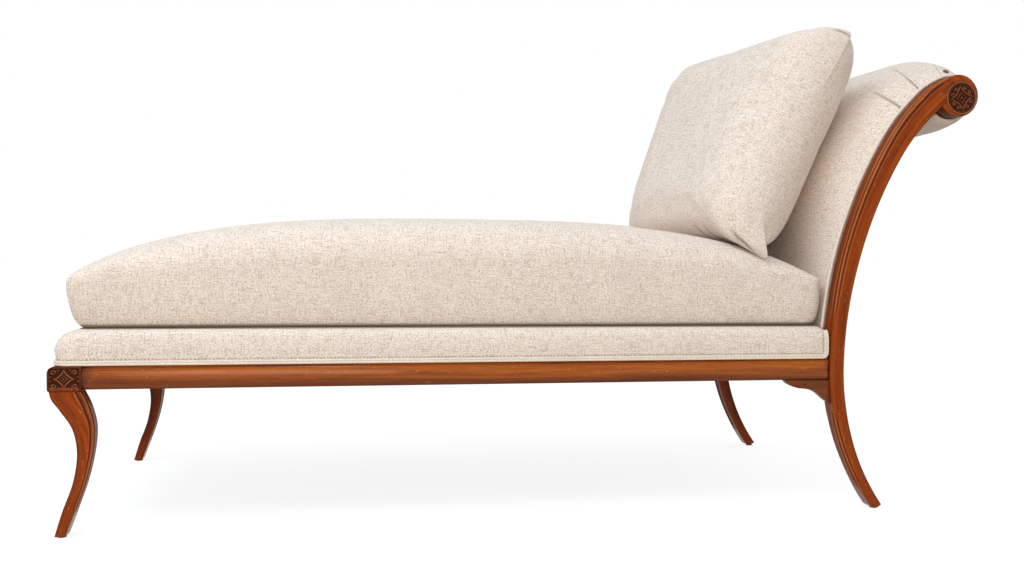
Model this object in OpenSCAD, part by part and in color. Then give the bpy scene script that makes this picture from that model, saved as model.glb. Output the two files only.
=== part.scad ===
// Recamier: a long upholstered seat with sabre legs, one scrolled end, a loose
// seat cushion and a loose back pillow. Millimetres, Z up. The foot end lies
// towards -X and the scrolled head end towards +X. The origin is the middle of
// the floor under the whole piece.

/* [Frame] */
// Length from the foot blocks' end face to the stile's centre line at its knee
frame_length = 1543; // [1250:1:1900]
// Width over the outer faces of the legs
frame_width = 692; // [560:1:860]
// Thickness of a leg or stile across the seat
leg_thickness = 36; // [30:1:48]
// Small gap between pieces that meet but don't touch
clearance = 0.3; // [0.2:0.1:0.5]

/* [Foot legs] */
// Length of the square carved block over a foot leg
block_length = 60; // [50:1:76]
// Height of the carved block
block_height = 47; // [40:1:60]
// Radius of the block's upper end corner
block_round = 13; // [6:1:18]
// Radius of the block's lower end corner
block_foot_round = 5; // [3:1:8]
// How far the leg's face lies behind the block's face
leg_step = 1; // [0.5:0.1:2]
// Width of the sunk margin round the carved field
field_margin = 5; // [3:0.5:8]
// Depth of the carved field's relief
relief = 1.2; // [0.6:0.1:2]

/* [Head stiles] */
// Height of the knee, where the leg's sweep turns into the back's sweep
knee_height = 300; // [270:1:340]
// Radius of the rear sabre leg's centre line
sabre_radius = 500; // [430:5:640]
// Radius of the back's centre line
back_radius = 910; // [800:5:1100]
// Radius of the neck below the scroll
neck_radius = 420; // [340:5:520]
// Radius of the last bend into the scroll
curl_radius = 260; // [200:5:320]
// Sweep angle at the end of the back
back_angle = 30; // [26:1:34]
// Sweep angle at the end of the neck
neck_angle = 46; // [42:1:50]
// Sweep angle where the front edge runs into the scroll
curl_angle = 62; // [58:1:66]
// Width of the stile at the middle of the back
stile_width = 38; // [32:0.5:46]
// Radius of the scroll's round head
scroll_radius = 44; // [40:1:50]
// Swell of the stile's front edge into the scroll
curl_swell = 8; // [4:0.5:10]
// Radius of the carved roundel in the scroll
roundel_radius = 33; // [26:0.5:34]
// Thickness of the roundel
roundel_thickness = 6; // [4:0.5:9]
// Depth of the groove along the front arris
groove_depth = 3; // [1.5:0.5:4]
// Width of that groove
groove_width = 5; // [3:0.5:7]
// Height of the bead beside the groove
bead_height = 1.4; // [0.8:0.1:2]
// Width of the bead
bead_width = 4; // [3:0.5:6]
// Rounding of the long edges
edge_round = 2; // [1:0.5:3]

/* [Rails] */
// Height of the show-wood rail
rail_height = 44; // [36:1:56]
// Height of the hidden upper part of a rail, under the upholstery
rail_blank = 42; // [34:1:44]
// Thickness of a side rail from nose to inner face
rail_thickness = 32; // [28:1:34]
// Radius of the rails' rounded nose
nose_radius = 34; // [32:1:44]
// How far a side rail's hidden upper part lies behind the legs' outer face
blank_setback = 16; // [14:1:20]
// How far the foot rail's hidden upper part lies behind the blocks' end face
end_blank_setback = 22; // [20:1:26]
// How far the nose lies behind the legs' outer face
nose_setback = 1; // [0.5:0.5:3]
// Thickness of the foot rail
end_rail_thickness = 30; // [28:1:32]
// Thickness of the rear seat rail
rear_rail_thickness = 20; // [18:1:26]
// Length of a tenon
tenon_length = 22; // [14:1:28]
// Thickness of a tenon
tenon_thickness = 10; // [8:1:14]
// Height of a tenon
tenon_height = 28; // [20:1:36]
// Length of the knee bracket under the rail
bracket_length = 97; // [70:1:130]
// Drop of the knee bracket at the stile
bracket_drop = 48; // [36:1:60]
// Thickness of the knee bracket
bracket_thickness = 16; // [12:1:18]
// How far the bracket lies behind the legs' outer face
bracket_setback = 6; // [4:0.5:8]
// Radius of the pin hole in a bracket
bracket_hole_radius = 1.6; // [1:0.1:2.5]

/* [Hidden woodwork] */
// Leg of a corner block along each rail
corner_block_leg = 70; // [50:1:90]
// Height of a corner block
corner_block_height = 34; // [28:1:40]
// Thickness of a bearer across the seat
bearer_thickness = 22; // [18:1:30]
// Height of a bearer
bearer_height = 50; // [40:1:60]
// Number of bearers
bearer_count = 2; // [1:1:3]
// Thickness of a rail in the back
back_rail_thickness = 12; // [9:0.5:12]
// Height of a rail in the back
back_rail_height = 50; // [40:1:70]
// Radius of the crest rail's tenons
crest_tenon_radius = 12; // [10:0.5:16]
// Radius of a wood screw's shank
screw_radius = 2.5; // [2:0.1:3]
// Depth of a screw's head below the corner block's face on the rail
screw_seat = 12; // [10:1:16]
// Depth that a screw bites into a rail
screw_bite = 16; // [12:1:17]
// Radius of a wood screw's head
screw_head_radius = 4.5; // [4:0.1:6]
// Radius of a glide under a foot
glide_radius = 8; // [6:0.5:9]
// Height of a glide
glide_height = 4; // [3:0.5:6]

/* [Webbing and covers] */
// Width of a webbing strap
web_width = 50; // [40:1:60]
// Thickness of webbing
web_thickness = 1.5; // [1:0.1:2.5]
// Straps along the seat
web_long_count = 4; // [3:1:5]
// Straps across the seat
web_cross_count = 11; // [8:1:14]
// Straps up the back
web_back_count = 4; // [3:1:5]
// Thickness of the cloth under the frame
dust_cover_thickness = 1; // [0.6:0.1:1.5]
// Thickness of the outside back's panel
outside_back_thickness = 4; // [3:0.5:6]

/* [Deck] */
// Height of the upholstered deck above the show-wood rail
deck_height = 66; // [54:1:80]
// How far the deck's side lies behind the legs' outer face
deck_setback = 6; // [5:0.5:8]
// How far the deck's upper edge is rounded back at the foot end
deck_round = 40; // [30:1:48]
// How far the deck's end lies behind the foot blocks' end face
deck_end_setback = 6; // [5:0.5:10]
// Thickness of the deck's cover behind the stiles' front
deck_wall = 5; // [4:0.5:7]
// Width of the flat double welt along the deck's lower edge
welt_width = 9; // [7:0.5:12]
// Thickness of the double welt
welt_thickness = 4.6; // [3.5:0.1:5]

/* [Inside back] */
// Depth of the inside back's padding behind the stile's front edge
pad_depth = 9; // [7:0.5:11]
// Padding over the stile's front edge beside the welt
pad_edge = 3; // [2:0.5:5]
// Crown of the inside back at its middle
pad_crown = 68; // [50:1:80]
// Padding of the roll's underside beside the scroll
roll_edge = 9; // [6:0.5:12]
// Radius of the welt along the stile
back_welt_radius = 3; // [2.4:0.1:3.6]

/* [Seat cushion] */
// Gap from the foot blocks' end face to the cushion
cushion_foot_gap = 27; // [20:1:50]
// Gap from the cushion to the stile's front edge
cushion_head_gap = 5.5; // [5:0.5:12]
// Gap from the legs' outer face to the cushion's side
cushion_side_gap = 30; // [22:1:45]
// Height of the cushion at its ends
cushion_edge_height = 96; // [80:1:120]
// Rise of the crown above the cushion's ends
cushion_crown = 120; // [80:1:140]
// Corner radius of the cushion in plan
cushion_corner = 20; // [16:1:40]
// How far the sides are drawn in between the corners
cushion_draw = 7; // [4:1:12]
// How far the bottom edge is tucked under
cushion_tuck = 11; // [8:1:20]
// Thickness of the soft layer round the cushion's core
cushion_wrap = 24; // [20:1:30]

/* [Back pillow] */
// Room that the pillow's width leaves across the frame
pillow_room = 86; // [80:1:150]
// How far the pillow lies to the near side of the middle
pillow_aside = 4; // [0:1:8]
// Height of the pillow along its lean
pillow_height = 500; // [460:1:506]
// Thickness of the pillow at its middle
pillow_thickness = 200; // [180:1:210]
// Fullness of the pillow's hidden back beside that of its front
pillow_back_share = 1.34; // [1:0.02:1.36]
// Lean of the pillow from upright
pillow_lean = 22.9; // [21:0.1:23]
// Turn of the pillow, its near end towards the back
pillow_turn = 8.2; // [4:0.1:8.4]
// Twist of the pillow: how much more its near end leans than its middle
pillow_twist = 4.3; // [0:0.1:4.6]
// Distance from the pillow's middle to the stile's knee along the seat
pillow_forward = 110; // [109:1:150]
// Height of the pillow's middle above the deck
pillow_rise = 407; // [404:1:430]
// Corner radius of the pillow
pillow_corner = 32; // [26:1:60]
// How far the pillow's sides are drawn in between the corners
pillow_draw = 11; // [6:1:16]

/* [Hidden] */
$fn = 64;

// One overrun for every cut
over = 1;
half_width = frame_width / 2;
inner_face = half_width - leg_thickness;

// Sweep of the stile: angles are measured from upright, at the knee they are 0
foot_angle = -asin((knee_height - glide_height) / sabre_radius);
function front(a) = [-cos(a), sin(a)];
function arc_run(r, a0, a1) = r * [cos(a0) - cos(a1), sin(a1) - sin(a0)];
back_run = arc_run(back_radius, 0, back_angle);
neck_run = back_run + arc_run(neck_radius, back_angle, neck_angle);
function sweep(a) =
    a <= 0 ? arc_run(sabre_radius, 0, a) :
    a <= back_angle ? arc_run(back_radius, 0, a) :
    a <= neck_angle ? back_run + arc_run(neck_radius, back_angle, a) :
    neck_run + arc_run(curl_radius, neck_angle, a);

// Half the stile's width along the sweep: the place is a share of each stretch
leg_width_shares = [[0, 0.815], [0.22, 0.8], [0.44, 0.73], [0.68, 0.63], [1, 0.56]];
back_width_shares = [[0, 0.815], [0.28, 0.86], [0.5, 0.94], [0.7, 0.975], [1, 1.05]];
neck_width_shares = [[0, 1.05], [0.5, 1.12], [1, 1.16]];
curl_width_shares = [[0, 1.16], [0.25, 1.13], [0.5, 1.03], [1, 0.74]];
function half_stile(a) = stile_width / 2 * (
    a <= 0 ? lookup(a / foot_angle, leg_width_shares) :
    a <= back_angle ? lookup(a / back_angle, back_width_shares) :
    a <= neck_angle
        ? lookup((a - back_angle) / (neck_angle - back_angle), neck_width_shares) :
    lookup((a - neck_angle) / (curl_angle - neck_angle), curl_width_shares));
scroll_run = sweep(curl_angle)
    - front(curl_angle) * (scroll_radius - half_stile(curl_angle) - curl_swell);
function swell(a) = lookup(a, [[neck_angle, 0], [(neck_angle + curl_angle) / 2,
    curl_swell * 0.56], [curl_angle, curl_swell]]);

// Places along the seat
roll_back_share = 0.36;
head_reach = scroll_run[0] + scroll_radius + roll_edge + pad_crown * roll_back_share;
x_foot = -(frame_length + head_reach) / 2;
x_knee = x_foot + frame_length;
knee = [x_knee, knee_height];
scroll = knee + scroll_run;
function spine(a) = knee + sweep(a);
function front_edge(a) = a <= curl_angle
    ? spine(a) + front(a) * (half_stile(a) + swell(a))
    : scroll + front(a) * scroll_radius;
function rear_edge(a) = spine(a) - front(a) * half_stile(a);
x_stile = x_knee - half_stile(0);
roundel_mid = scroll + scroll_radius * [0.07, -0.06];

// Heights
rail_top = knee_height + rail_height * 0.41;
rail_bottom = rail_top - rail_height;
block_bottom = rail_top - block_height;
blank_top = rail_top + rail_blank;
web_top = blank_top + 2 * web_thickness;
deck_top = rail_top + deck_height;
cushion_bottom = deck_top + clearance;

// Joins section rings, each with as many points, into one closed solid. Seen
// along the run from the first ring to the last, the points turn left.
function mean(ring) = [
    for (k = [0:2]) [for (p = ring) p[k]] * [for (p = ring) 1] / len(ring)];
module loft(rings) {
    n = len(rings[0]);
    m = len(rings);
    points = concat([for (ring = rings) for (p = ring) p],
        [mean(rings[0]), mean(rings[m - 1])]);
    sides = [for (i = [0:m - 2]) for (j = [0:n - 1]) let (
        a = i * n + j,
        b = i * n + (j + 1) % n) each [[a, b, b + n], [a, b + n, a + n]]];
    ends = [for (j = [0:n - 1]) let (k = (j + 1) % n)
        each [[m * n, k, j], [m * n + 1, (m - 1) * n + j, (m - 1) * n + k]]];
    polyhedron(points = points, faces = concat(sides, ends));
}

// A smooth curve through a table's rows, u from 0 to 1, for all columns at once
function row(t, i) = t[max(0, min(len(t) - 1, i))];
function spline(t, u) = let (
    s = u * (len(t) - 1),
    i = min(floor(s), len(t) - 2),
    f = s - i,
    a = row(t, i), b = row(t, i + 1),
    da = (b - row(t, i - 1)) / 2, db = (row(t, i + 2) - a) / 2)
    a * (2 * pow(f, 3) - 3 * pow(f, 2) + 1) + b * (3 * pow(f, 2) - 2 * pow(f, 3))
    + da * (pow(f, 3) - 2 * pow(f, 2) + f) + db * (pow(f, 3) - pow(f, 2));

// The near piece as it is, or mirrored for the far side
module on_side(far) {
    if (far) mirror([0, 1, 0]) children();
    else children();
}

// Extrudes an X-Z outline across the seat from y0 to y1
module across(y0, y1) {
    translate([0, y1, 0]) rotate([90, 0, 0]) linear_extrude(height = y1 - y0) children();
}

// Extrudes a Y-Z outline along the seat from x0 to x1
module along(x0, x1) {
    translate([x0, 0, 0]) rotate([90, 0, 90]) linear_extrude(height = x1 - x0) children();
}

module box(low, high) {
    translate(low) cube(high - low);
}

// Profile of a moulded arris: [distance in from the outer face, rise over the edge].
// Strength 0 is a plain edge, 1 the full groove and bead.
groove_at = edge_round + groove_width * 0.9;
bead_at = groove_at + (groove_width + bead_width) / 2;
flat_at = bead_at + bead_width;
cove_depth = bead_height * 0.6;
corner_share = 0.3;
function moulding(strength) = [
    [0, -edge_round],
    [edge_round * corner_share, -edge_round * corner_share],
    [edge_round, 0],
    [groove_at - groove_width / 2, 0],
    [groove_at - groove_width / 4, -groove_depth * strength * 0.75],
    [groove_at, -groove_depth * strength],
    [groove_at + groove_width / 4, -groove_depth * strength * 0.75],
    [groove_at + groove_width / 2, 0],
    [bead_at - bead_width / 4, bead_height * strength * 0.8],
    [bead_at, bead_height * strength],
    [bead_at + bead_width / 4, bead_height * strength * 0.8],
    [bead_at + bead_width / 2, 0],
    [flat_at, -cove_depth * strength],
    [leg_thickness - edge_round, -cove_depth * strength],
    [leg_thickness - edge_round * corner_share,
        -cove_depth * strength - edge_round * corner_share],
    [leg_thickness, -cove_depth * strength - edge_round]
];
plain_edge = [
    [leg_thickness, edge_round],
    [leg_thickness - edge_round * corner_share, edge_round * corner_share],
    [leg_thickness - edge_round, 0],
    [edge_round, 0],
    [edge_round * corner_share, edge_round * corner_share],
    [0, edge_round]
];

// Where the stile's moulding runs: it dies out at the deck and above the foot
stile_stops = [[foot_angle * 0.84, 0], [foot_angle * 0.76, 1], [foot_angle * 0.36, 1],
    [foot_angle * 0.27, 0], [back_angle * 0.17, 0], [back_angle * 0.3, 1],
    [curl_angle * 0.94, 1], [curl_angle, 0]];
function stile_ring(a) = let (
    s = lookup(a, stile_stops),
    f = front_edge(a), r = rear_edge(a), n = front(a), y = -half_width)
    concat(
        [for (p = moulding(s)) [f[0] + n[0] * p[1], y + p[0], f[1] + n[1] * p[1]]],
        [for (p = plain_edge) [r[0] + n[0] * p[1], y + p[0], r[1] + n[1] * p[1]]]);
leg_angles = [for (i = [-1:13]) foot_angle * (1 - i / 13)];
back_angles = [for (i = [1:16]) back_angle * i / 16];
neck_angles = [for (i = [1:6]) back_angle + (neck_angle - back_angle) * i / 6];
curl_angles = [for (i = [1:7]) neck_angle + (curl_angle - neck_angle) * i / 7];

// The scroll's round head; the sweep ends inside it
module scroll_head() {
    difference() {
        across(-half_width + leg_step / 2, -inner_face)
            translate(scroll) circle(r = scroll_radius);
        across(-half_width, -half_width + roundel_thickness)
            translate(roundel_mid) circle(r = roundel_radius + clearance);
        across(-inner_face - tenon_length - clearance, -inner_face + over)
            translate(scroll) circle(r = crest_tenon_radius + clearance);
    }
}
module head_stile(far) {
    color([0.62, 0.3, 0.1]) on_side(far) union() {
        difference() {
            loft([for (a = concat(leg_angles, back_angles, neck_angles, curl_angles))
                stile_ring(a)]);
            across(-half_width - over, -inner_face + over)
                translate(scroll) circle(r = scroll_radius * 0.96);
            box([x_knee, -half_width - over, -knee_height],
                [x_knee + knee_height, -inner_face + over, glide_height]);
            rail_tenon(clearance);
            head_rail_tenon(clearance);
            back_rail_tenon(lower_angle, clearance);
            back_rail_tenon(middle_angle, clearance);
        }
        scroll_head();
    }
}

// A four-pointed star with hollow sides, its slightly blunt points on the axes
star_hollow = 1.1;
star_tip = 0.3;
module star(reach) {
    far = reach * star_hollow;
    difference() {
        rotate(45) square(reach * sqrt(2), center = true);
        for (a = [45:90:315])
            rotate(a) translate([far * sqrt(2), 0])
                circle(r = norm([reach - far, far]) - star_tip);
    }
}

// Small open curls in the four quarters of a carving
module curls(reach, size) {
    for (x = [-1, 1], y = [-1, 1]) translate([x * reach[0], y * reach[1]])
        difference() {
            circle(r = size);
            circle(r = size * 0.45);
        }
}

// The roundel is a turned disc with a raised rim, a star with a dot, and curls
star_turn = 10;
module roundel(far) {
    r = roundel_radius;
    rim = r * 0.14;
    low = -half_width + relief;
    back = -half_width + roundel_thickness - clearance;
    color([0.3, 0.13, 0.06]) on_side(far) union() {
        across(low, back)
            translate(roundel_mid) circle(r = r);
        across(-half_width - relief / 2, low + relief / 2) translate(roundel_mid)
            rotate(star_turn) {
                difference() {
                    circle(r = r * 0.98);
                    circle(r = r - rim);
                }
                difference() {
                    star(r * 0.8);
                    star(r * 0.52);
                }
                circle(r = r * 0.09);
                curls([r * 0.46, r * 0.46], r * 0.12);
            }
    }
}

// Foot leg: rows go from the block down to the floor. Columns: height as a share
// of the leg's, then its end side and its seat side as shares of the block's length.
foot_leg_shares = [
    [1.03, 0.03, 0.9], [0.95, 0.11, 1.09], [0.87, 0.36, 1.23], [0.74, 0.72, 1.345],
    [0.57, 0.85, 1.285], [0.37, 0.725, 1.085], [0.17, 0.41, 0.78], [0, 0.18, 0.5]];
foot_moulding_stops = [[0, 0], [0.14, 0], [0.2, 1], [0.93, 1], [1, 1]];
foot_rings = 17;
function foot_ring(u) = let (
    r = spline(foot_leg_shares, u),
    z = glide_height + (block_bottom - glide_height) * r[0],
    s = lookup(r[0], foot_moulding_stops) / 2,
    x0 = x_foot + block_length * r[1], x1 = x_foot + block_length * r[2],
    y = -half_width + leg_step, shrink = (leg_thickness - leg_step) / leg_thickness)
    concat(
        [for (p = plain_edge) [x0 + p[1], y + p[0] * shrink, z]],
        [for (p = moulding(s)) [x1 + p[1], y + p[0] * shrink, z]]);

module foot_block() {
    w = block_length;
    x0 = x_foot;
    z0 = block_bottom;
    across(-half_width, -inner_face) union() {
        translate([x0 + block_round, z0]) square([w - block_round, block_height]);
        translate([x0, z0 + block_foot_round])
            square([w, block_height - block_round - block_foot_round]);
        translate([x0 + block_round, rail_top - block_round]) circle(r = block_round);
        translate([x0 + block_foot_round, z0 + block_foot_round])
            circle(r = block_foot_round);
        translate([x0 + block_foot_round, z0]) square([block_round, block_round]);
    }
}

// A star with hollow sides, its dot and four curls stand in a sunk field
module carved_field() {
    w = block_length - 2 * field_margin;
    h = block_height - 2 * field_margin;
    mid = [x_foot + block_length / 2, rail_top - block_height / 2];
    across(-half_width - over, -half_width + relief) translate(mid) difference() {
        square([w, h], center = true);
        difference() {
            star(h * 0.47);
            star(h * 0.29);
        }
        circle(r = h * 0.07);
        curls([w * 0.36, h * 0.33], h * 0.1);
    }
}

module foot_leg(far) {
    color([0.55, 0.27, 0.1]) on_side(far) difference() {
        union() {
            loft([for (i = [0:foot_rings]) foot_ring(i / foot_rings)]);
            foot_block();
        }
        carved_field();
        rail_tenon(clearance);
        foot_rail_tenon(clearance);
    }
}

// Side rail: a rounded nose of show wood with a set-back blank over it
tenon_mid = rail_top - rail_height / 2;
rail_nose = -half_width + nose_setback;
rail_inner = -half_width + rail_thickness;
tenon_y = rail_inner - tenon_thickness * 0.9;
x_rail = x_foot + block_length;
x_rail_end = x_stile - clearance;
x_blank_end = x_rail_end - deck_wall;
nose_end_round = rail_height * 0.2;
module rail_tenon(gap) {
    z0 = tenon_mid - tenon_height / 2 - gap;
    box([x_rail - tenon_length - gap, tenon_y - tenon_thickness / 2 - gap, z0],
        [x_stile + tenon_length + gap, tenon_y + tenon_thickness / 2 + gap,
            z0 + tenon_height + 2 * gap]);
}

// Section of a rail's show part, its first axis running inwards from the nose
module nose_section(depth) {
    intersection() {
        translate([nose_radius, tenon_mid]) circle(r = nose_radius);
        translate([0, rail_bottom]) square([depth, rail_height]);
    }
}

// Rounds the nose off where it meets the stile
module nose_end_cut() {
    r = nose_end_round;
    translate([0, 0, rail_bottom - over]) linear_extrude(height = rail_height + over / 2)
        difference() {
            translate([x_rail_end - r, rail_nose - over]) square([r + over, r + over]);
            translate([x_rail_end - r, rail_nose + r]) circle(r = r);
        }
}
module side_rail(far) {
    color([0.62, 0.3, 0.1]) on_side(far) difference() {
        union() {
            along(x_rail + clearance, x_rail_end) translate([rail_nose, 0])
                nose_section(rail_thickness - nose_setback);
            box([x_rail + clearance, -half_width + blank_setback, tenon_mid],
                [x_blank_end, rail_inner, blank_top]);
            intersection() {
                rail_tenon(0);
                box([x_foot, -half_width, rail_bottom],
                    [x_stile + leg_thickness, -inner_face, rail_top]);
            }
        }
        nose_end_cut();
        at_side_screws() screw(clearance / 2);
        rear_rail_tenon(clearance);
    }
}

// Foot rail, with the same nose, between the carved blocks
x_foot_rail = x_foot + block_length * 0.06;
x_foot_inner = x_foot_rail + end_rail_thickness;
module foot_rail_tenon(gap) {
    x = x_foot_rail + end_rail_thickness * 0.62;
    y = inner_face + leg_thickness / 2 + gap;
    z0 = tenon_mid - tenon_height / 2 - gap;
    box([x - tenon_thickness / 2 - gap, -y, z0],
        [x + tenon_thickness / 2 + gap, y, z0 + tenon_height + 2 * gap]);
}
module foot_rail() {
    y = inner_face - clearance;
    color([0.6, 0.29, 0.1]) difference() {
        union() {
            across(-y, y) translate([x_foot_rail, 0]) nose_section(end_rail_thickness);
            box([x_foot + end_blank_setback, -y, tenon_mid], [x_foot_inner, y, blank_top]);
            foot_rail_tenon(0);
        }
        at_foot_screws() screw(clearance / 2);
    }
}

// Rear seat rail between the side rails, and the head rail between the stiles
x_rear_rail = x_blank_end - clearance - rear_rail_thickness;
hidden_bottom = rail_bottom + rail_height * 0.2;
module rear_rail_tenon(gap) {
    x = x_rear_rail + rear_rail_thickness / 2;
    y = -rail_inner + rail_thickness * 0.25;
    z0 = hidden_bottom + rail_blank * 0.6 - gap;
    box([x - tenon_thickness / 2 - gap, -y - gap, z0],
        [x + tenon_thickness / 2 + gap, y + gap, z0 + tenon_height + 2 * gap]);
}
module rear_seat_rail() {
    y = -rail_inner - clearance;
    color([0.78, 0.62, 0.42]) difference() {
        union() {
            box([x_rear_rail, -y, hidden_bottom],
                [x_rear_rail + rear_rail_thickness, y, blank_top]);
            rear_rail_tenon(0);
        }
        at_head_screws() screw(clearance / 2);
    }
}
x_head_rail = x_stile + edge_round;
module head_rail_tenon(gap) {
    x = x_head_rail + rear_rail_thickness / 2;
    y = inner_face + leg_thickness * 0.3 + gap;
    z0 = rail_top + rail_height * 0.1 - gap;
    box([x - tenon_thickness / 2 - gap, -y, z0],
        [x + tenon_thickness / 2 + gap, y, z0 + tenon_height + 2 * gap]);
}
module head_rail() {
    y = inner_face - clearance;
    color([0.78, 0.62, 0.42]) {
        box([x_head_rail, -y, rail_bottom],
            [x_head_rail + rear_rail_thickness, y, blank_top]);
        head_rail_tenon(0);
    }
}

// Knee bracket: its lower edge is an ogee from the rail down to the stile
bracket_shares = [
    [0, 0], [0.065, 0.15], [0.16, 0.25], [0.28, 0.34], [0.4, 0.365],
    [0.52, 0.4], [0.64, 0.47], [0.76, 0.61], [0.88, 0.815], [1, 1]];
bracket_steps = 18;
bracket_top = rail_bottom - clearance;
function drop_angle(z) = asin((z - knee_height) / sabre_radius);
module knee_bracket(far) {
    y = -half_width + bracket_setback;
    x0 = x_stile - bracket_length;
    a0 = drop_angle(bracket_top - bracket_drop);
    a1 = drop_angle(bracket_top);
    color([0.58, 0.27, 0.09]) on_side(far) across(y, y + bracket_thickness)
        difference() {
            polygon(concat(
                [for (i = [0:bracket_steps - 1]) let (
                    s = spline(bracket_shares, i / bracket_steps))
                    [x0 + s[0] * bracket_length, bracket_top - s[1] * bracket_drop]],
                [for (i = [0:3]) let (a = a0 + (a1 - a0) * i / 3)
                    front_edge(a) + front(a) * clearance]));
            translate([x0 + bracket_length * 0.45, bracket_top - bracket_drop * 0.2])
                circle(r = bracket_hole_radius);
        }
}

// Crest rail, turned round, with a round tenon in each scroll
crest_radius = scroll_radius - pad_depth - web_thickness - 3 * clearance;
module crest_rail() {
    color([0.78, 0.62, 0.42]) {
        across(-inner_face + clearance, inner_face - clearance)
            translate(scroll) circle(r = crest_radius);
        across(-inner_face - tenon_length, inner_face + tenon_length)
            translate(scroll) circle(r = crest_tenon_radius);
    }
}

// Rails across the back, set square to the sweep behind the webbing
lower_angle = asin(back_rail_height * 2.4 / back_radius);
middle_angle = back_angle * 0.68;
rail_offset = pad_depth + web_thickness + 6 * clearance;
module turned_to_sweep(a) {
    translate([front_edge(a)[0], 0, front_edge(a)[1]]) rotate([0, a, 0]) children();
}
module back_rail_tenon(a, gap) {
    y = inner_face + leg_thickness * 0.3 + gap;
    x0 = rail_offset + back_rail_thickness * 0.15;
    turned_to_sweep(a) box([x0 - gap, -y, -back_rail_height / 3 - gap],
        [x0 + back_rail_thickness * 0.7 + gap, y, back_rail_height / 3 + gap]);
}
module back_rail(a) {
    y = inner_face - clearance;
    color([0.78, 0.62, 0.42]) {
        turned_to_sweep(a) box([rail_offset, -y, -back_rail_height / 2],
            [rail_offset + back_rail_thickness, y, back_rail_height / 2]);
        back_rail_tenon(a, 0);
    }
}

// Bearers across the seat
module seat_bearers() {
    y = -rail_inner - clearance;
    z0 = hidden_bottom;
    color([0.8, 0.65, 0.45]) for (i = [1:bearer_count]) {
        x = x_rail + (x_rear_rail - x_rail) * i / (bearer_count + 1);
        box([x - bearer_thickness / 2, -y, z0],
            [x + bearer_thickness / 2, y, z0 + bearer_height]);
    }
}

// Corner blocks and their screws
block_z = hidden_bottom;
screw_z = block_z + corner_block_height / 2;
screw_run = corner_block_leg * 0.4;
screw_head_height = screw_radius * 1.2;
module at_side_screws() {
    for (x = [x_rail + screw_run, x_rear_rail - screw_run], s = [-1, 1])
        translate([x, -s * rail_inner, screw_z]) rotate([s * 90, 0, 0]) children();
}
module at_foot_screws() {
    for (s = [-1, 1]) translate([x_foot_inner, s * (inner_face - screw_run), screw_z])
        rotate([0, 90, 0]) children();
}
module at_head_screws() {
    for (s = [-1, 1]) translate([x_rear_rail, -s * (rail_inner + screw_run), screw_z])
        rotate([0, -90, 0]) children();
}
module screw(gap) {
    translate([0, 0, -screw_bite - gap])
        cylinder(r = screw_radius + gap, h = screw_bite + screw_seat + 2 * gap);
    translate([0, 0, screw_seat - gap])
        cylinder(r = screw_head_radius + gap,
            h = gap > 0 ? corner_block_leg : screw_head_height);
}
module corner_block_outlines() {
    c = clearance;
    y = -rail_inner - c;
    for (s = [-1, 1]) {
        polygon([[x_rail + c, s * y], [x_rail + corner_block_leg, s * y],
            [x_foot_inner + c, s * (inner_face - corner_block_leg)],
            [x_foot_inner + c, s * (inner_face - c)],
            [x_rail + c, s * (inner_face - c)]]);
        polygon([[x_rear_rail - c, s * y], [x_rear_rail - corner_block_leg, s * y],
            [x_rear_rail - c, s * (y - corner_block_leg)]]);
    }
}
module corner_blocks() {
    color([0.8, 0.66, 0.46]) difference() {
        translate([0, 0, block_z]) linear_extrude(height = corner_block_height)
            corner_block_outlines();
        at_side_screws() screw(clearance);
        at_foot_screws() screw(clearance);
        at_head_screws() screw(clearance);
    }
}
module corner_screws() {
    color([0.6, 0.6, 0.58]) {
        at_side_screws() screw(0);
        at_foot_screws() screw(0);
        at_head_screws() screw(0);
    }
}

// Glides under the four feet
function foot_middle() = x_foot + block_length * (foot_leg_shares[7][1] + foot_leg_shares[7][2]) / 2;
module glides() {
    y = half_width - leg_thickness / 2;
    color([0.1, 0.09, 0.08]) for (s = [-1, 1], x = [foot_middle(), spine(foot_angle)[0]])
        translate([x, s * y, 0]) cylinder(r = glide_radius, h = glide_height);
}

// Webbing. A strap's two ends are folded double over the rails.
fold = web_width * 0.2;
module strap_x(x0, x1, y) {
    t = web_thickness;
    box([x0, y - web_width / 2, blank_top], [x1, y + web_width / 2, blank_top + t]);
    for (x = [x0, x1 - fold])
        box([x, y - web_width / 2, blank_top], [x + fold, y + web_width / 2, web_top]);
}
module seat_webbing_long() {
    x0 = x_foot + end_blank_setback + clearance;
    x1 = x_rear_rail + rear_rail_thickness;
    pitch = (2 * inner_face - web_width) / web_long_count;
    color([0.75, 0.68, 0.5]) for (i = [0:web_long_count - 1])
        strap_x(x0, x1, pitch * (i - (web_long_count - 1) / 2));
}
module seat_webbing_cross() {
    t = web_thickness;
    y = half_width - blank_setback - clearance;
    x0 = x_rail + web_width * 0.6;
    x1 = x_rear_rail - web_width * 0.8;
    color([0.7, 0.62, 0.45]) for (i = [0:web_cross_count - 1]) {
        x = x0 + (x1 - x0) * i / (web_cross_count - 1);
        box([x - web_width / 2, -y, blank_top + t], [x + web_width / 2, y, web_top]);
        for (s = [0, 1]) mirror([0, s, 0])
            box([x - web_width / 2, -y, blank_top],
                [x + web_width / 2, -y + fold, web_top]);
    }
}
web_top_angle = 95;
module back_webbing() {
    steps = [for (a = pad_angles) if (a < web_top_angle) a];
    last = len(steps) - 1;
    pitch = (2 * inner_face - web_width) / web_back_count;
    d = pad_depth + clearance;
    color([0.75, 0.68, 0.5]) for (i = [0:web_back_count - 1]) {
        y = pitch * (i - (web_back_count - 1) / 2);
        across(y - web_width / 2, y + web_width / 2) polygon(concat(
            [for (a = steps) front_edge(a) - front(a) * d],
            [for (k = [last:-1:0]) let (a = steps[k])
                front_edge(a) - front(a) * (d + web_thickness)]));
    }
}

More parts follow.
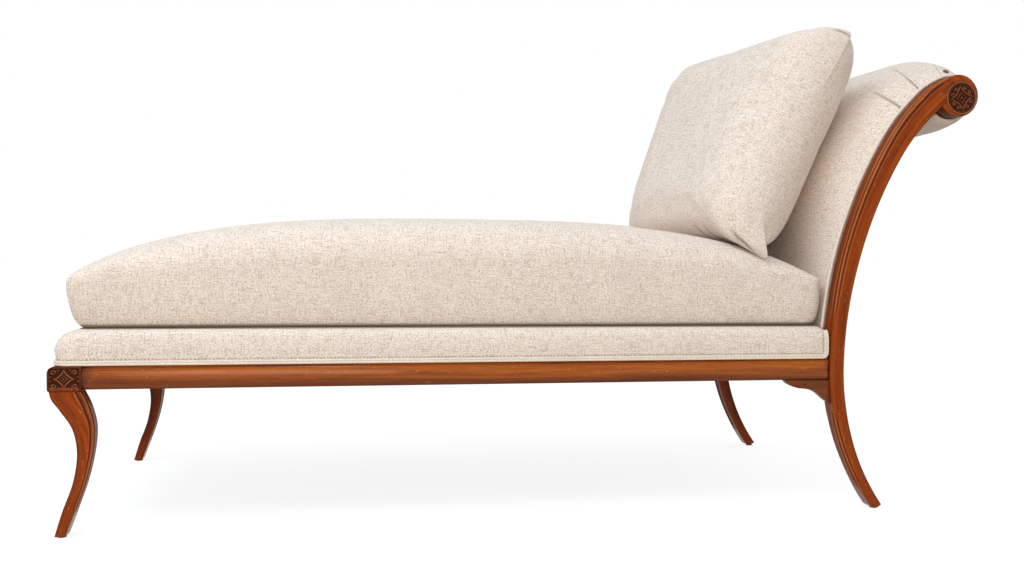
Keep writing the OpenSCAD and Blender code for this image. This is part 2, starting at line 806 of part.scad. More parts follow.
// Cloth under the frame
module dust_cover() {
    z0 = rail_bottom - clearance - dust_cover_thickness;
    z1 = rail_bottom - clearance;
    y = inner_face - clearance;
    wide = half_width - bracket_setback - bracket_thickness - clearance;
    color([0.12, 0.12, 0.12]) {
        box([x_foot_rail + nose_radius * 0.35, -y, z0],
            [x_head_rail + rear_rail_thickness * 0.9, y, z1]);
        box([x_rail + clearance, -wide, z0], [x_rail_end, wide, z1]);
    }
}

// Outside back: a covered panel in the back's rear opening
module outside_back() {
    inset = edge_round / 2;
    a0 = drop_angle(rail_bottom + rail_height * 0.05);
    a1 = outside_top_angle;
    steps = [for (i = [0:16]) a0 + (a1 - a0) * i / 16];
    y = inner_face - clearance;
    color([0.84, 0.79, 0.68]) across(-y, y) polygon(concat(
        [for (a = steps) rear_edge(a) + front(a) * inset],
        [for (k = [16:-1:0]) let (a = steps[k])
            rear_edge(a) + front(a) * (inset + outside_back_thickness)]));
}
outside_top_angle = neck_angle + (curl_angle - neck_angle) * 0.45;

// Deck: rows go up its side. Columns: share of its height, then insets of its side,
// its foot end and its head end as shares of its rounding.
deck_shares = [
    [0, 0.02, 0.1, 0.02], [0.14, 0.01, 0.08, 0.01], [0.42, 0, 0, 0],
    [0.64, 0.04, 0.1, 0.02], [0.79, 0.1, 0.28, 0.04], [0.91, 0.25, 0.55, 0.18],
    [1, 0.75, 1, 0.4]];
deck_corner = deck_round * 0.65;
deck_arc = 5;
function deck_side(z) = deck_round
    * lookup((z - rail_top) / deck_height, [for (r = deck_shares) [r[0], r[1]]]);
function corner(x, y, r, a0, a1, n) = [for (i = [0:n]) let (a = a0 + (a1 - a0) * i / n)
    [x + r * cos(a), y + r * sin(a)]];
function deck_plan(r) = let (
    x0 = x_foot + deck_end_setback + deck_round * r[2],
    x1 = x_stile - clearance - deck_round * r[3],
    y = half_width - deck_setback - deck_round * r[1],
    f = deck_corner, b = deck_corner * 0.3)
    concat(
        corner(x0 + f, y - f, f, 180, 90, deck_arc),
        corner(x1 - b, y - b, b, 90, 0, 2),
        corner(x1 - b, b - y, b, 0, -90, 2),
        corner(x0 + f, f - y, f, -90, -180, deck_arc));
deck_bottom = rail_top + clearance;
module deck_pad() {
    c = clearance;
    x1 = x_blank_end + c;
    y = half_width - blank_setback + c;
    color([0.86, 0.81, 0.7]) difference() {
        loft([for (r = deck_shares) let (z = deck_bottom + (deck_height - clearance) * r[0])
            [for (p = deck_plan(r)) [p[0], p[1], z]]]);
        box([x_foot + end_blank_setback - c, -inner_face, knee_height],
            [x1, inner_face, web_top + c]);
        box([x_rail, -y, knee_height], [x1, y, web_top + c]);
    }
}

// Welt along the deck: two cords side by side. A station is a point on the lower
// edge, the way out and the way across the welt.
welt_profile = [[0, 1], [0.75, 0.96], [1, 0.76], [0.7, 0.5], [1, 0.24], [0.75, 0.04], [0, 0]];
welt_turn = welt_width * 1.5;
function welt_station(x, z, nx, nz) = let (
    inset = max(0, min(deck_side(z), deck_side(z + nz * welt_width)) - deck_round * 0.05),
    y = -half_width + deck_setback - clearance + inset)
    [[x, y, z], [0, -1, 0], [nx, 0, nz]];
function welt_side() = let (
    x1 = x_rail_end - clearance - welt_thickness / 2,
    z1 = rail_top + deck_height * 0.66)
    concat(
        [for (a = [40, 20, 0]) welt_station(x1 - welt_turn + welt_turn * cos(a),
            z1 + welt_turn * sin(a), -cos(a), -sin(a))],
        [for (a = [0:-22.5:-90]) welt_station(x1 - welt_turn + welt_turn * cos(a),
            deck_bottom + welt_turn + welt_turn * sin(a), -cos(a), -sin(a))]);
function welt_foot() = let (
    x0 = x_foot + deck_end_setback + deck_round * 0.07,
    y = half_width - deck_setback,
    f = deck_corner)
    [for (i = [0:deck_arc]) let (a = -90 - 90 * i / deck_arc)
        [[x0 + f + (f + clearance) * cos(a), f - y + (f + clearance) * sin(a), deck_bottom],
            [cos(a), sin(a), 0], [0, 0, 1]]];
function flip(p) = [p[0], -p[1], p[2]];
module deck_welt() {
    near = concat(welt_side(), welt_foot());
    last = len(near) - 1;
    stations = concat(near, [for (i = [last:-1:0]) [for (v = near[i]) flip(v)]]);
    color([0.82, 0.76, 0.64]) loft([for (s = stations)
        [for (p = welt_profile)
            s[0] + s[1] * p[0] * welt_thickness + s[2] * p[1] * welt_width]]);
}

// Inside back: padding with a crown, from the deck up over the crest
back_low_angle = asin((deck_top + edge_round - knee_height) / back_radius);
roll_end_angle = 312;
crown_shares = [[0, 0.02], [back_angle * 0.22, 0.02], [back_angle * 0.28, 0.06],
    [back_angle * 0.5, 0.42],
    [back_angle * 0.9, 1], [neck_angle, 1], [curl_angle, 0.88], [90, 0.86],
    [180, roll_back_share], [270, 0.2], [360, 0.1]];
function pad_edge_at(a) = lookup(a, [[0, pad_edge], [90, pad_edge], [180, roll_edge],
    [360, roll_edge]]);
pad_columns = [-1, -0.97, -0.9, -0.76, -0.55, -0.28, 0, 0.28, 0.55, 0.76, 0.9, 0.97, 1];
function fullness(t) = pow(1 - pow(abs(t), 2.6), 0.8);
pad_half = inner_face - 2 * back_welt_radius - 2 * clearance;
pad_angles = concat(
    [for (i = [0:13]) back_low_angle + (curl_angle - back_low_angle) * i / 13],
    [for (i = [1:16]) curl_angle + (roll_end_angle - curl_angle) * i / 16]);
function pad_ring(a) = let (e = front_edge(a), n = front(a))
    concat(
        [for (t = pad_columns) let (
            d = pad_edge_at(a) + pad_crown * lookup(a, crown_shares) * fullness(t))
            [e[0] + n[0] * d, t * pad_half, e[1] + n[1] * d]],
        [for (t = [1, -1]) [e[0] - n[0] * pad_depth, t * pad_half, e[1] - n[1] * pad_depth]]);
module inside_back() {
    color([0.86, 0.81, 0.7]) loft([for (a = pad_angles) pad_ring(a)]);
}
module back_welt(far) {
    y = -inner_face + clearance + back_welt_radius;
    r = back_welt_radius;
    color([0.9, 0.85, 0.74]) on_side(far) loft([for (a = pad_angles) let (
        n = front(a), c = front_edge(a) + n * r / 2)
        [for (i = [0:7]) [c[0] + n[0] * r * cos(45 * i), y + r * sin(45 * i),
            c[1] + n[1] * r * cos(45 * i)]]]);
}

// Seat cushion. Its plan is a rectangle with round corners and drawn-in sides, and
// its top rises to a crown.
cushion_x0 = x_foot + cushion_foot_gap;
cushion_x1 = x_stile - cushion_head_gap;
cushion_mid = (cushion_x0 + cushion_x1) / 2;
cushion_half = (cushion_x1 - cushion_x0) / 2;
cushion_side = half_width - cushion_side_gap;
cushion_grid = [-0.92, -0.8, -0.6, -0.35, 0, 0.35, 0.6, 0.8, 0.92];
function cushion_height(s, t) = cushion_edge_height + cushion_crown
    * pow(max(0, 1 - pow(abs(s), 3)), 0.7) * pow(max(0, 1 - pow(abs(t), 8)), 0.5);
function cushion_top(x, y) = cushion_bottom
    + cushion_height((x - cushion_mid) / cushion_half, y / cushion_side);
function drawn(s) = cushion_draw * (1 - s * s);
cushion_plan = let (h = cushion_half, w = cushion_side, f = cushion_corner)
    concat(
        corner(f - h, w - f, f, 180, 90, 4),
        [for (s = cushion_grid) [s * (h - f), w - drawn(s)]],
        corner(h - f, w - f, f, 90, 0, 4),
        corner(h - f, f - w, f, 0, -90, 4),
        [for (s = cushion_grid) [-s * (h - f), drawn(s) - w]],
        corner(f - h, f - w, f, -90, -180, 4),
        [for (s = [-0.5, 0, 0.5]) [drawn(s) - h, s * (w - f)]]);
function cushion_ring(inset, z) = [for (p = cushion_plan)
    [cushion_mid + p[0] * (1 - inset / cushion_half),
        p[1] * (1 - inset / cushion_side), cushion_bottom + z]];
function cushion_top_ring(k) = [for (p = cushion_plan)
    [cushion_mid + k * p[0], k * p[1],
        cushion_bottom + cushion_height(k * p[0] / cushion_half, k * p[1] / cushion_side)]];
core_gap = clearance * 2;
module cushion_core_box(gap) {
    w = cushion_wrap - gap;
    box([cushion_x0 + w, -cushion_side + w, cushion_bottom + w],
        [cushion_x1 - w, cushion_side - w, cushion_bottom + cushion_edge_height + gap]);
}
module seat_cushion() {
    color([0.87, 0.82, 0.71]) difference() {
        loft(concat(
            [cushion_ring(cushion_tuck, 0),
                cushion_ring(cushion_tuck * 0.27, cushion_edge_height * 0.2),
                cushion_ring(0, cushion_edge_height * 0.45)],
            [for (k = [0.999, 0.99, 0.97, 0.93, 0.86, 0.76, 0.6, 0.4, 0.18])
                cushion_top_ring(k)]));
        cushion_core_box(core_gap);
    }
}
module seat_cushion_core() {
    color([0.93, 0.9, 0.75]) cushion_core_box(0);
}

// Zip across the cushion's head end, and its pull tab
zip_z = cushion_bottom + cushion_edge_height * 0.5;
zip_half = cushion_side - cushion_corner * 1.2;
zip_width = 24;
tab_width = 7;
tab_thickness = 1.6;
zip_thickness = 1.2;
module seat_cushion_zip() {
    x = cushion_x1 + clearance;
    color([0.8, 0.75, 0.64])
        box([x, -zip_half, zip_z - zip_width / 2],
            [x + zip_thickness, zip_half, zip_z + zip_width / 2]);
}
module seat_cushion_zip_pull() {
    x = cushion_x1 + 2 * clearance + zip_thickness;
    y = -zip_half + tab_width;
    slider = zip_width * 0.4;
    drop = zip_width * 1.1;
    color([0.55, 0.45, 0.3]) {
        box([x, y - tab_width / 2, zip_z - slider / 2],
            [x + tab_thickness * 1.4, y + tab_width / 2, zip_z + slider / 2]);
        difference() {
            box([x + tab_thickness * 0.3, y - tab_width * 0.35, zip_z - drop],
                [x + tab_thickness * 1.3, y + tab_width * 0.35, zip_z]);
            translate([x - over, y, zip_z - drop + tab_width * 0.6]) rotate([0, 90, 0])
                cylinder(r = tab_width * 0.18, h = tab_thickness * 2 + over);
        }
    }
}

// Back pillow: two crowned halves on one seam, leaning back, its foot moulded to
// the seat cushion's crown
x_pillow = x_knee - pillow_forward;
pillow_width = frame_width - pillow_room;
z_pillow = deck_top + pillow_rise;
pillow_rest = clearance * 5;
pillow_grid = [-0.85, -0.5, 0, 0.5, 0.85];
function pillow_pull(s) = pillow_draw * (1 - s * s);
pillow_plan = let (w = pillow_width / 2, h = pillow_height / 2, f = pillow_corner)
    concat(
        corner(f - w, h - f, f, 180, 90, 3),
        [for (s = pillow_grid) [s * (w - f), h - pillow_pull(s)]],
        corner(w - f, h - f, f, 90, 0, 3),
        [for (s = pillow_grid) [w - pillow_pull(s), -s * (h - f)]],
        corner(w - f, f - h, f, 0, -90, 3),
        [for (s = pillow_grid) [-s * (w - f), -h]],
        corner(f - w, f - h, f, -90, -180, 3),
        [for (s = pillow_grid) [pillow_pull(s) - w, s * (h - f)]]);
sag = pillow_height * 0.08;
function corner_share_at(p) = min(abs(2 * p[0]) / pillow_width, abs(2 * p[1]) / pillow_height);
function pillow_depth(p, k) = pillow_thickness / 2
    * pow((1 - pow(k, 6)) * (1 - pow(k * corner_share_at(p), 6)), 0.5);
function pillow_point(p, k, d) = let (
    low = max(0, -2 * p[1] / pillow_height),
    v = k * p[1] - sag * (1 - k) - max(0, d) * 0.2 * low * k,
    lean = pillow_lean - pillow_twist * 2 * k * p[0] / pillow_width,
    forth = v * sin(lean) - d * cos(lean),
    x = x_pillow + forth * cos(pillow_turn) - k * p[0] * sin(pillow_turn),
    y = forth * sin(pillow_turn) + k * p[0] * cos(pillow_turn) - pillow_aside,
    z = z_pillow + v * cos(lean) + d * sin(lean))
    [x, y, max(z, cushion_top(x, y) + pillow_rest)];
pillow_shares = [0.995, 0.975, 0.94, 0.88, 0.76, 0.5];
module pillow_core_box(gap) {
    translate([x_pillow, -pillow_aside, z_pillow]) rotate([0, pillow_lean, pillow_turn])
        box([-pillow_thickness * 0.2 - gap, -pillow_width * 0.38 - gap,
                -pillow_height * 0.36 - gap],
            [pillow_thickness * 0.2 + gap, pillow_width * 0.38 + gap,
                pillow_height * 0.34 + gap]);
}
module back_pillow() {
    n = len(pillow_shares);
    color([0.88, 0.83, 0.72]) difference() {
        loft(concat(
            [for (i = [n - 1:-1:0]) let (k = pillow_shares[i])
                [for (p = pillow_plan) pillow_point(p, k, pillow_depth(p, k))]],
            [for (k = concat([1], pillow_shares))
                [for (p = pillow_plan) pillow_point(p, k, -pillow_depth(p, k)
                    * (1 + (pillow_back_share - 1) * (1 - k)))]]));
        pillow_core_box(core_gap);
    }
}
module back_pillow_core() {
    color([0.95, 0.93, 0.88]) pillow_core_box(0);
}

foot_leg(false);  // foot_leg_near
foot_leg(true);  // foot_leg_far
head_stile(false);  // head_stile_near
head_stile(true);  // head_stile_far
roundel(false);  // roundel_near
roundel(true);  // roundel_far
side_rail(false);  // side_rail_near
side_rail(true);  // side_rail_far
foot_rail();
rear_seat_rail();
head_rail();
knee_bracket(false);  // knee_bracket_near
knee_bracket(true);  // knee_bracket_far
crest_rail();
back_rail(lower_angle);  // back_lower_rail
back_rail(middle_angle);  // back_middle_rail
seat_bearers();
corner_blocks();
corner_screws();
glides();
seat_webbing_long();
seat_webbing_cross();
back_webbing();
dust_cover();
deck_pad();
deck_welt();
inside_back();
outside_back();
back_welt(false);  // back_welt_near
back_welt(true);  // back_welt_far
seat_cushion();
seat_cushion_core();
seat_cushion_zip();
seat_cushion_zip_pull();
back_pillow();
back_pillow_core();
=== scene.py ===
# %% [markdown]
# # A recamier
# A recamier is a daybed with one raised, scrolled end. This lesson dresses its
# measured woodwork with worked surfaces: shaped and carved wood, stuffed linen
# pads, a loose seat cushion and a loose back pillow. Every new piece is a surface
# worked out with numpy, and every finish is made of nodes.

# %% The measured frame
import math
import bmesh
import bpy
import numpy as np
from mathutils import Matrix, Vector


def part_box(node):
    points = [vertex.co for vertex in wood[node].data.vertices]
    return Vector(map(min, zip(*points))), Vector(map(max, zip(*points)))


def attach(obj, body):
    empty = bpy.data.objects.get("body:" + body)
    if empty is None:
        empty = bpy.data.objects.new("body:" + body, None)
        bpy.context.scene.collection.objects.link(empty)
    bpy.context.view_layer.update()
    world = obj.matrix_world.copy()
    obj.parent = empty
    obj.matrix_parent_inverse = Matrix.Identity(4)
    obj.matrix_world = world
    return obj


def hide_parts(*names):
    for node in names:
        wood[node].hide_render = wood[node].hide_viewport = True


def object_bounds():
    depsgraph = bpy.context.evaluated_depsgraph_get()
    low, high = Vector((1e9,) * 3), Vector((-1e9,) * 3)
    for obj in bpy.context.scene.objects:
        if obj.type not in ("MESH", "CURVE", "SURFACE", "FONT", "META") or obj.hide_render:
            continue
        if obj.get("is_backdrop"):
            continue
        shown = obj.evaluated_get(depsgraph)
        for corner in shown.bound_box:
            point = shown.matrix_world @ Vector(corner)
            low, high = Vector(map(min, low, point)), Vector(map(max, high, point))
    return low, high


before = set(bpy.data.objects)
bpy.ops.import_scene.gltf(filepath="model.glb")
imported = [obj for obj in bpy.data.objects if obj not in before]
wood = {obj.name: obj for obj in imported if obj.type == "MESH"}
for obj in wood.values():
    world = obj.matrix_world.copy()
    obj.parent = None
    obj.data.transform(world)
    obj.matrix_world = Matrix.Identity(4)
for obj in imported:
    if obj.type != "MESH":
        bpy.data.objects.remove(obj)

measured_box = [list(corner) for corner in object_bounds()]
print("measured box", [[round(v, 3) for v in corner] for corner in measured_box])

# %% [markdown]
# ## The maker's sizes
# A chair maker draws the side view first: the sweep of the head stile, then the
# rails that meet it. The same few sizes place everything that is sewn later, so
# they come first here too. Lengths are in metres, and a hair is the small gap
# left where two pieces would touch.

# %% Sizes
half_width, leg_thickness = 0.346, 0.036
inner_face = half_width - leg_thickness
foot_x, knee_x, knee_height = -0.94161, 0.60139, 0.300
sabre_radius, back_radius, neck_radius, curl_radius = 0.500, 0.910, 0.420, 0.260
back_angle, neck_angle, curl_angle = 30.0, 46.0, 62.0
glide_height = 0.004
foot_angle = -math.degrees(math.asin((knee_height - glide_height) / sabre_radius))
scroll_radius, curl_swell = 0.044, 0.008
rail_height, rail_end = 0.044, 0.586
rail_top = knee_height + rail_height * 0.41
block_length, block_height = 0.060, 0.047
deck_height = 0.066
deck_top = rail_top + deck_height
hair = 0.0003


# %% [markdown]
# ## Small helpers
# A table of a few stations becomes a smooth curve, grids of points are sewn into
# one mesh, and the mesh gets its finish and the body that it rides on. Nearly all
# the pieces below are made with these.

# %% Helpers
def through(x, stations, values):
    """A smooth curve through pairs: cubic pieces whose slope at a station is the
    harmonic mean of its neighbours' slopes, so that it never overshoots."""
    stations, values = np.asarray(stations, float), np.asarray(values, float)
    slope = np.diff(values) / np.diff(stations)
    bend = np.zeros(len(values))
    bend[0], bend[-1] = slope[0], slope[-1]
    if len(slope) > 1:
        same = slope[1:] * slope[:-1] > 0
        total = np.where(same, slope[1:] + slope[:-1], 1.0)
        bend[1:-1] = np.where(same, 2 * slope[1:] * slope[:-1] / total, 0.0)
    x = np.clip(x, stations[0], stations[-1])
    i = np.clip(np.searchsorted(stations, x, side="right") - 1, 0, len(slope) - 1)
    gap = np.diff(stations)[i]
    u = (x - stations[i]) / gap
    return (values[i] * (2 * u**3 - 3 * u**2 + 1) + values[i + 1] * (3 * u**2 - 2 * u**3)
            + gap * (bend[i] * (u**3 - 2 * u**2 + u) + bend[i + 1] * (u**3 - u**2)))


def bump_at(x, centre, width):
    """A smooth hill of height 1: the square of the distance in widths, as a
    falling exponential."""
    return np.exp(-(((x - centre) / width) ** 2))


def sew(name, patches, body, finish, replaces=(), sharp=None, doubles=1e-5):
    """A piece from patches, each a grid of points, a grid of places on the cloth
    and, where it has any, a grid of marks: above 0 a darker colour, painted shade
    with some dark wax on the wood, and below 0 a lighter one on wood, painted
    highlight with some wear.
    Points that meet are merged, and the shell is turned to face outwards."""
    points, quads, places, marks, start = [], [], [], [], 0
    for grid, place, *held in patches:
        rows, columns = grid.shape[:2]
        index = np.arange(rows * columns).reshape(rows, columns)
        cells = np.stack([index[:-1, :-1], index[:-1, 1:], index[1:, 1:], index[1:, :-1]], -1)
        cells = cells.reshape(-1, 4)
        points.append(grid.reshape(-1, 3))
        places.append(place.reshape(-1, 2)[cells].reshape(-1, 2))
        held = held[0].reshape(-1) if held else np.zeros(rows * columns)
        marks.append(held[cells].reshape(-1))
        quads.append(cells + start)
        start += rows * columns
    mesh = bpy.data.meshes.new(name)
    mesh.from_pydata(np.concatenate(points).tolist(), [], np.concatenate(quads).tolist())
    mesh.uv_layers.new(name="cloth").data.foreach_set(
        "uv", np.concatenate(places).astype(np.float32).ravel())
    mesh.attributes.new("shade_and_polish", "FLOAT", "CORNER").data.foreach_set(
        "value", np.concatenate(marks).astype(np.float32))
    shell = bmesh.new()
    shell.from_mesh(mesh)
    bmesh.ops.remove_doubles(shell, verts=shell.verts, dist=doubles)
    bmesh.ops.recalc_face_normals(shell, faces=shell.faces)
    if shell.calc_volume(signed=True) < 0:
        bmesh.ops.reverse_faces(shell, faces=shell.faces)
    open_edges = sum(1 for edge in shell.edges if not edge.is_manifold)
    shell.to_mesh(mesh)
    shell.free()
    mesh.polygons.foreach_set("use_smooth", np.ones(len(mesh.polygons), bool))
    if sharp:
        mesh.set_sharp_from_angle(angle=math.radians(sharp))
    piece = bpy.data.objects.new(name, mesh)
    bpy.context.scene.collection.objects.link(piece)
    mesh.materials.append(finish)
    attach(piece, body)
    if replaces:
        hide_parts(*replaces)
    print(name, len(mesh.polygons), "faces", open_edges, "open edges")
    return piece


def mirrored(grid):
    """The same grid on the far side: its Y changes sign."""
    return grid * np.array([1.0, -1.0, 1.0])


sides = (("near", lambda grid: grid), ("far", mirrored))


def lengths_along(grid, axis):
    """Distance travelled over a grid of points along one of its axes."""
    step = np.linalg.norm(np.diff(grid, axis=axis), axis=-1)
    zero = np.zeros_like(np.take(step, [0], axis=axis))
    return np.concatenate([zero, np.cumsum(step, axis=axis)], axis=axis)


def cloth_places(grid):
    """Place on the cloth: the distance along the rows and across them, measured
    on the middle row and column, so the weave is neither stretched nor turned."""
    across = lengths_along(grid, 1)
    down = lengths_along(grid, 0)
    middle = across[:, across.shape[1] // 2][:, None]
    return np.stack([across - middle, down], -1)


def laid(*grids):
    """Patches for sew whose cloth lies on each grid as it is."""
    return [(grid, cloth_places(grid)) for grid in grids]


def rims_between(front, back):
    """The four narrow strips that join the edges of two grids."""
    edges = lambda grid: [grid[0], grid[:, -1], grid[-1], grid[:, 0]]
    return [np.stack([a, b]) for a, b in zip(edges(front), edges(back))]


def with_ends(grid):
    """A loft closed at both ends by one more ring there, drawn in to its middle."""
    shut = lambda ring: np.broadcast_to(ring.mean(0), ring.shape)[None]
    return np.concatenate([shut(grid[0]), grid, shut(grid[-1])])


def stood_off(line, way, distance, y):
    """Points at depth y that stand off a line of the side view: the line's point
    plus the way it faces times the distance."""
    off = line + way * np.asarray(distance)[..., None]
    return np.stack([off[..., 0], y, off[..., 1]], -1)


# %% [markdown]
# ## Wood
# The show wood is a light wood stained orange brown and polished: long darker
# streaks along each piece, fine pores and a few pale spots where the stain has come
# off. Grooves, joints and undersides are painted darker, as painted shade, and the
# raised lines of mouldings and carving lighter, as painted highlight with some wear.
# One node group draws the grain, and each piece of wood sets its own direction and
# colours on it.

# %% Node helpers
def new_group(name, inputs, outputs):
    """An empty node group with named sockets, given as name and kind of socket."""
    group = bpy.data.node_groups.new(name, "ShaderNodeTree")
    for label, kind, value in inputs:
        socket = group.interface.new_socket(name=label, in_out="INPUT", socket_type=kind)
        if value is not None:
            socket.default_value = value
    for label, kind in outputs:
        group.interface.new_socket(name=label, in_out="OUTPUT", socket_type=kind)
    return group, group.nodes.new("NodeGroupInput"), group.nodes.new("NodeGroupOutput")


def add(tree, kind, links=None, **settings):
    """One node in a tree. Settings are its properties, or values of its sockets;
    links joins its inputs to other nodes' outputs."""
    node = tree.nodes.new(kind)
    for label, value in settings.items():
        if hasattr(node, label):
            setattr(node, label, value)
        else:
            node.inputs[label.replace("_", " ")].default_value = value
    for label, source in (links or {}).items():
        tree.links.new(source, node.inputs[label])
    return node


def stretch(tree, source, scale, place=(0.0, 0.0, 0.0), turn=(0.0, 0.0, 0.0)):
    """The same place, measured in other units, then turned and moved."""
    node = add(tree, "ShaderNodeMapping", {"Vector": source}, Location=place, Rotation=turn,
               Scale=scale)
    return node.outputs["Vector"]


def noise(tree, source, scale, detail=3.0, rough=0.55, twist=0.0):
    """A soft random value from 0 to 1 at a place."""
    node = add(tree, "ShaderNodeTexNoise", {"Vector": source}, Scale=scale, Detail=detail,
               Roughness=rough, Distortion=twist)
    return node.outputs["Fac"]


def between(tree, source, low, high, to_low=0.0, to_high=1.0):
    """A value brought from one range to another, and held inside it."""
    node = add(tree, "ShaderNodeMapRange", {"Value": source}, From_Min=low, From_Max=high,
               To_Min=to_low, To_Max=to_high)
    return node.outputs["Result"]


def feed(tree, sockets, values):
    """Gives sockets plain values, or joins them to other nodes' outputs."""
    for socket, value in zip(sockets, values):
        if hasattr(value, "is_linked"):
            tree.links.new(value, socket)
        else:
            socket.default_value = value


def sum_of(tree, kind, first, second):
    """Two values put together: ADD, MULTIPLY, MAXIMUM or SUBTRACT."""
    node = add(tree, "ShaderNodeMath", operation=kind)
    feed(tree, node.inputs, (first, second))
    return node.outputs["Value"]


def mixed(tree, share, first, second):
    """One colour laid over another by a share."""
    node = add(tree, "ShaderNodeMix", data_type="RGBA")
    colours = [s for s in node.inputs if s.type == "RGBA"]
    feed(tree, [node.inputs[0]] + colours, (share, first, second))
    return [s for s in node.outputs if s.type == "RGBA"][0]


def new_finish(name, **plain):
    """An empty material with its shader, and the values that are the same all over."""
    finish = bpy.data.materials.new(name)
    finish.use_nodes = True
    tree = finish.node_tree
    shader = tree.nodes["Principled BSDF"]
    for label, value in plain.items():
        shader.inputs[label.replace("_", " ")].default_value = value
    return finish, tree, shader


def place_on(tree, on_cloth):
    """Where a point is: on the piece's own cloth places, or in space."""
    if on_cloth:
        return add(tree, "ShaderNodeUVMap", uv_map="cloth").outputs["UV"]
    return add(tree, "ShaderNodeTexCoord").outputs["Object"]


def wire(tree, shader, colour, rough, height, strength, relief):
    """Joins colour and roughness to the shader, and the height as a bump."""
    bump = add(tree, "ShaderNodeBump", {"Height": height}, Strength=strength, Distance=relief)
    for label, source in (("Base Color", colour), ("Roughness", rough),
                          ("Normal", bump.outputs["Normal"])):
        tree.links.new(source, shader.inputs[label])


def linear(red, green, blue):
    """A colour read off a screen, 0 to 255, as the light it stands for."""
    values = np.array([red, green, blue]) / 255
    values = np.where(values < 0.04045, values / 12.92, ((values + 0.055) / 1.055) ** 2.4)
    return (*values.tolist(), 1.0)


# %% The grain of wood
FLOAT, COLOUR, VECTOR = "NodeSocketFloat", "NodeSocketColor", "NodeSocketVector"
grain, taken, given = new_group(
    "wood grain",
    [("Place", VECTOR, None), ("Light", COLOUR, None), ("Dark", COLOUR, None),
     ("Worn", COLOUR, None), ("Wear", FLOAT, 0.5), ("HighlightAndWear", FLOAT, 0.0),
     ("Polish", COLOUR, None), ("ShadeAndPolishShare", FLOAT, 0.0)],
    [("Color", COLOUR), ("Roughness", FLOAT), ("Height", FLOAT)])
place = taken.outputs["Place"]
streaks = noise(grain, stretch(grain, place, (2.6, 70.0, 70.0)), 1.0, 5.0, 0.62, 0.5)
pores = noise(grain, stretch(grain, place, (30.0, 900.0, 900.0)), 1.0, 2.0, 0.6)
clouds = noise(grain, stretch(grain, place, (4.0, 12.0, 12.0)), 1.0, 3.0, 0.55)
tone = between(grain, streaks, 0.3, 0.7, 0.0, 1.0)
tone = sum_of(grain, "MULTIPLY", tone, between(grain, clouds, 0.25, 0.7, 0.7, 1.0))
tone = sum_of(grain, "SUBTRACT", tone, between(grain, pores, 0.52, 0.75, 0.0, 0.3))
stained = mixed(grain, tone, taken.outputs["Dark"], taken.outputs["Light"])
nicks_and_highlight = noise(grain, stretch(grain, place, (70.0, 160.0, 160.0)), 1.0, 4.0, 0.7, 0.4)
nicks_and_highlight = between(grain, nicks_and_highlight, 0.645, 0.69)
nicks_and_highlight = sum_of(grain, "MULTIPLY", nicks_and_highlight, taken.outputs["Wear"])
# Painted highlight with some wear: the raised lines that a piece marks take the pale colour, as the real
# nicks do.
highlight_and_rubbed = sum_of(grain, "MULTIPLY", taken.outputs["HighlightAndWear"], between(grain, clouds, 0.3, 0.55, 0.4, 1.0))
nicks_and_highlight = sum_of(grain, "MAXIMUM", nicks_and_highlight, highlight_and_rubbed)
colour = mixed(grain, nicks_and_highlight, stained, taken.outputs["Worn"])
# Painted shade, with some dark wax from polishing on the block: the share that a piece marks is mixed
# towards the dark colour.
colour = mixed(grain, taken.outputs["ShadeAndPolishShare"], colour, taken.outputs["Polish"])
grain.links.new(colour, given.inputs["Color"])
gloss = between(grain, streaks, 0.3, 0.7, 0.27, 0.2)
gloss = sum_of(grain, "ADD", gloss, sum_of(grain, "MULTIPLY", nicks_and_highlight, 0.3))
gloss = sum_of(grain, "ADD", gloss, sum_of(grain, "MULTIPLY", taken.outputs["ShadeAndPolishShare"], 0.5))
grain.links.new(gloss, given.inputs["Roughness"])
height = sum_of(grain, "SUBTRACT", between(grain, pores, 0.4, 0.8, 1.0, 0.0), nicks_and_highlight)
grain.links.new(height, given.inputs["Height"])


# %% Finishes of wood
def wood_finish(name, turn, light, dark, worn_and_highlight, wear=0.5, coat=0.02, follow=False,
                shade_and_polish=(0.026, 0.008, 0.003, 1.0), highlight_and_wear=0.5, gloss=0.2, relief=0.00025,
                ends=None):
    """Polished wood. turn lays the grain's long direction along the piece; follow
    takes the grain, the painted shade with some dark wax, and the painted highlight
    with some wear from the piece's own places, so that they bend with the sweep; ends
    are the two X near which the wood is painted darker as painted shade, as it is low on the piece too."""
    finish, tree, shader = new_finish(name, Coat_Weight=coat, Coat_Roughness=0.08,
                                      Specular_IOR_Level=gloss)
    place = stretch(tree, place_on(tree, follow), (1.0, 1.0, 1.0), turn=turn)
    node = add(tree, "ShaderNodeGroup", {"Place": place}, node_tree=grain, Light=light,
               Dark=dark, Worn=worn_and_highlight, Wear=wear, Polish=shade_and_polish)
    if follow:
        # Marks above 0 give painted shade and marks below 0 give painted highlight with some wear.
        marks = add(tree, "ShaderNodeAttribute", attribute_name="shade_and_polish").outputs["Fac"]
        tree.links.new(between(tree, marks, 0.0, 1.0, 0.0, 0.94), node.inputs["ShadeAndPolishShare"])
        tree.links.new(between(tree, marks, -0.1, -1.0, 0.0, highlight_and_wear), node.inputs["HighlightAndWear"])
    if ends:
        # Painted shade: darker within a short way of each end X, and low on the piece.
        spot = add(tree, "ShaderNodeSeparateXYZ", {"Vector": place_on(tree, False)})
        left = between(tree, spot.outputs["X"], ends[0] + 0.022, ends[0], 0.0, 0.85)
        right = between(tree, spot.outputs["X"], ends[1] - 0.014, ends[1], 0.0, 0.85)
        low = between(tree, spot.outputs["Z"], 0.302, 0.276, 0.0, 0.6)
        held = sum_of(tree, "MAXIMUM", sum_of(tree, "MAXIMUM", left, right), low)
        tree.links.new(held, node.inputs["ShadeAndPolishShare"])
    wire(tree, shader, node.outputs["Color"], node.outputs["Roughness"], node.outputs["Height"],
         0.3, relief)
    return finish


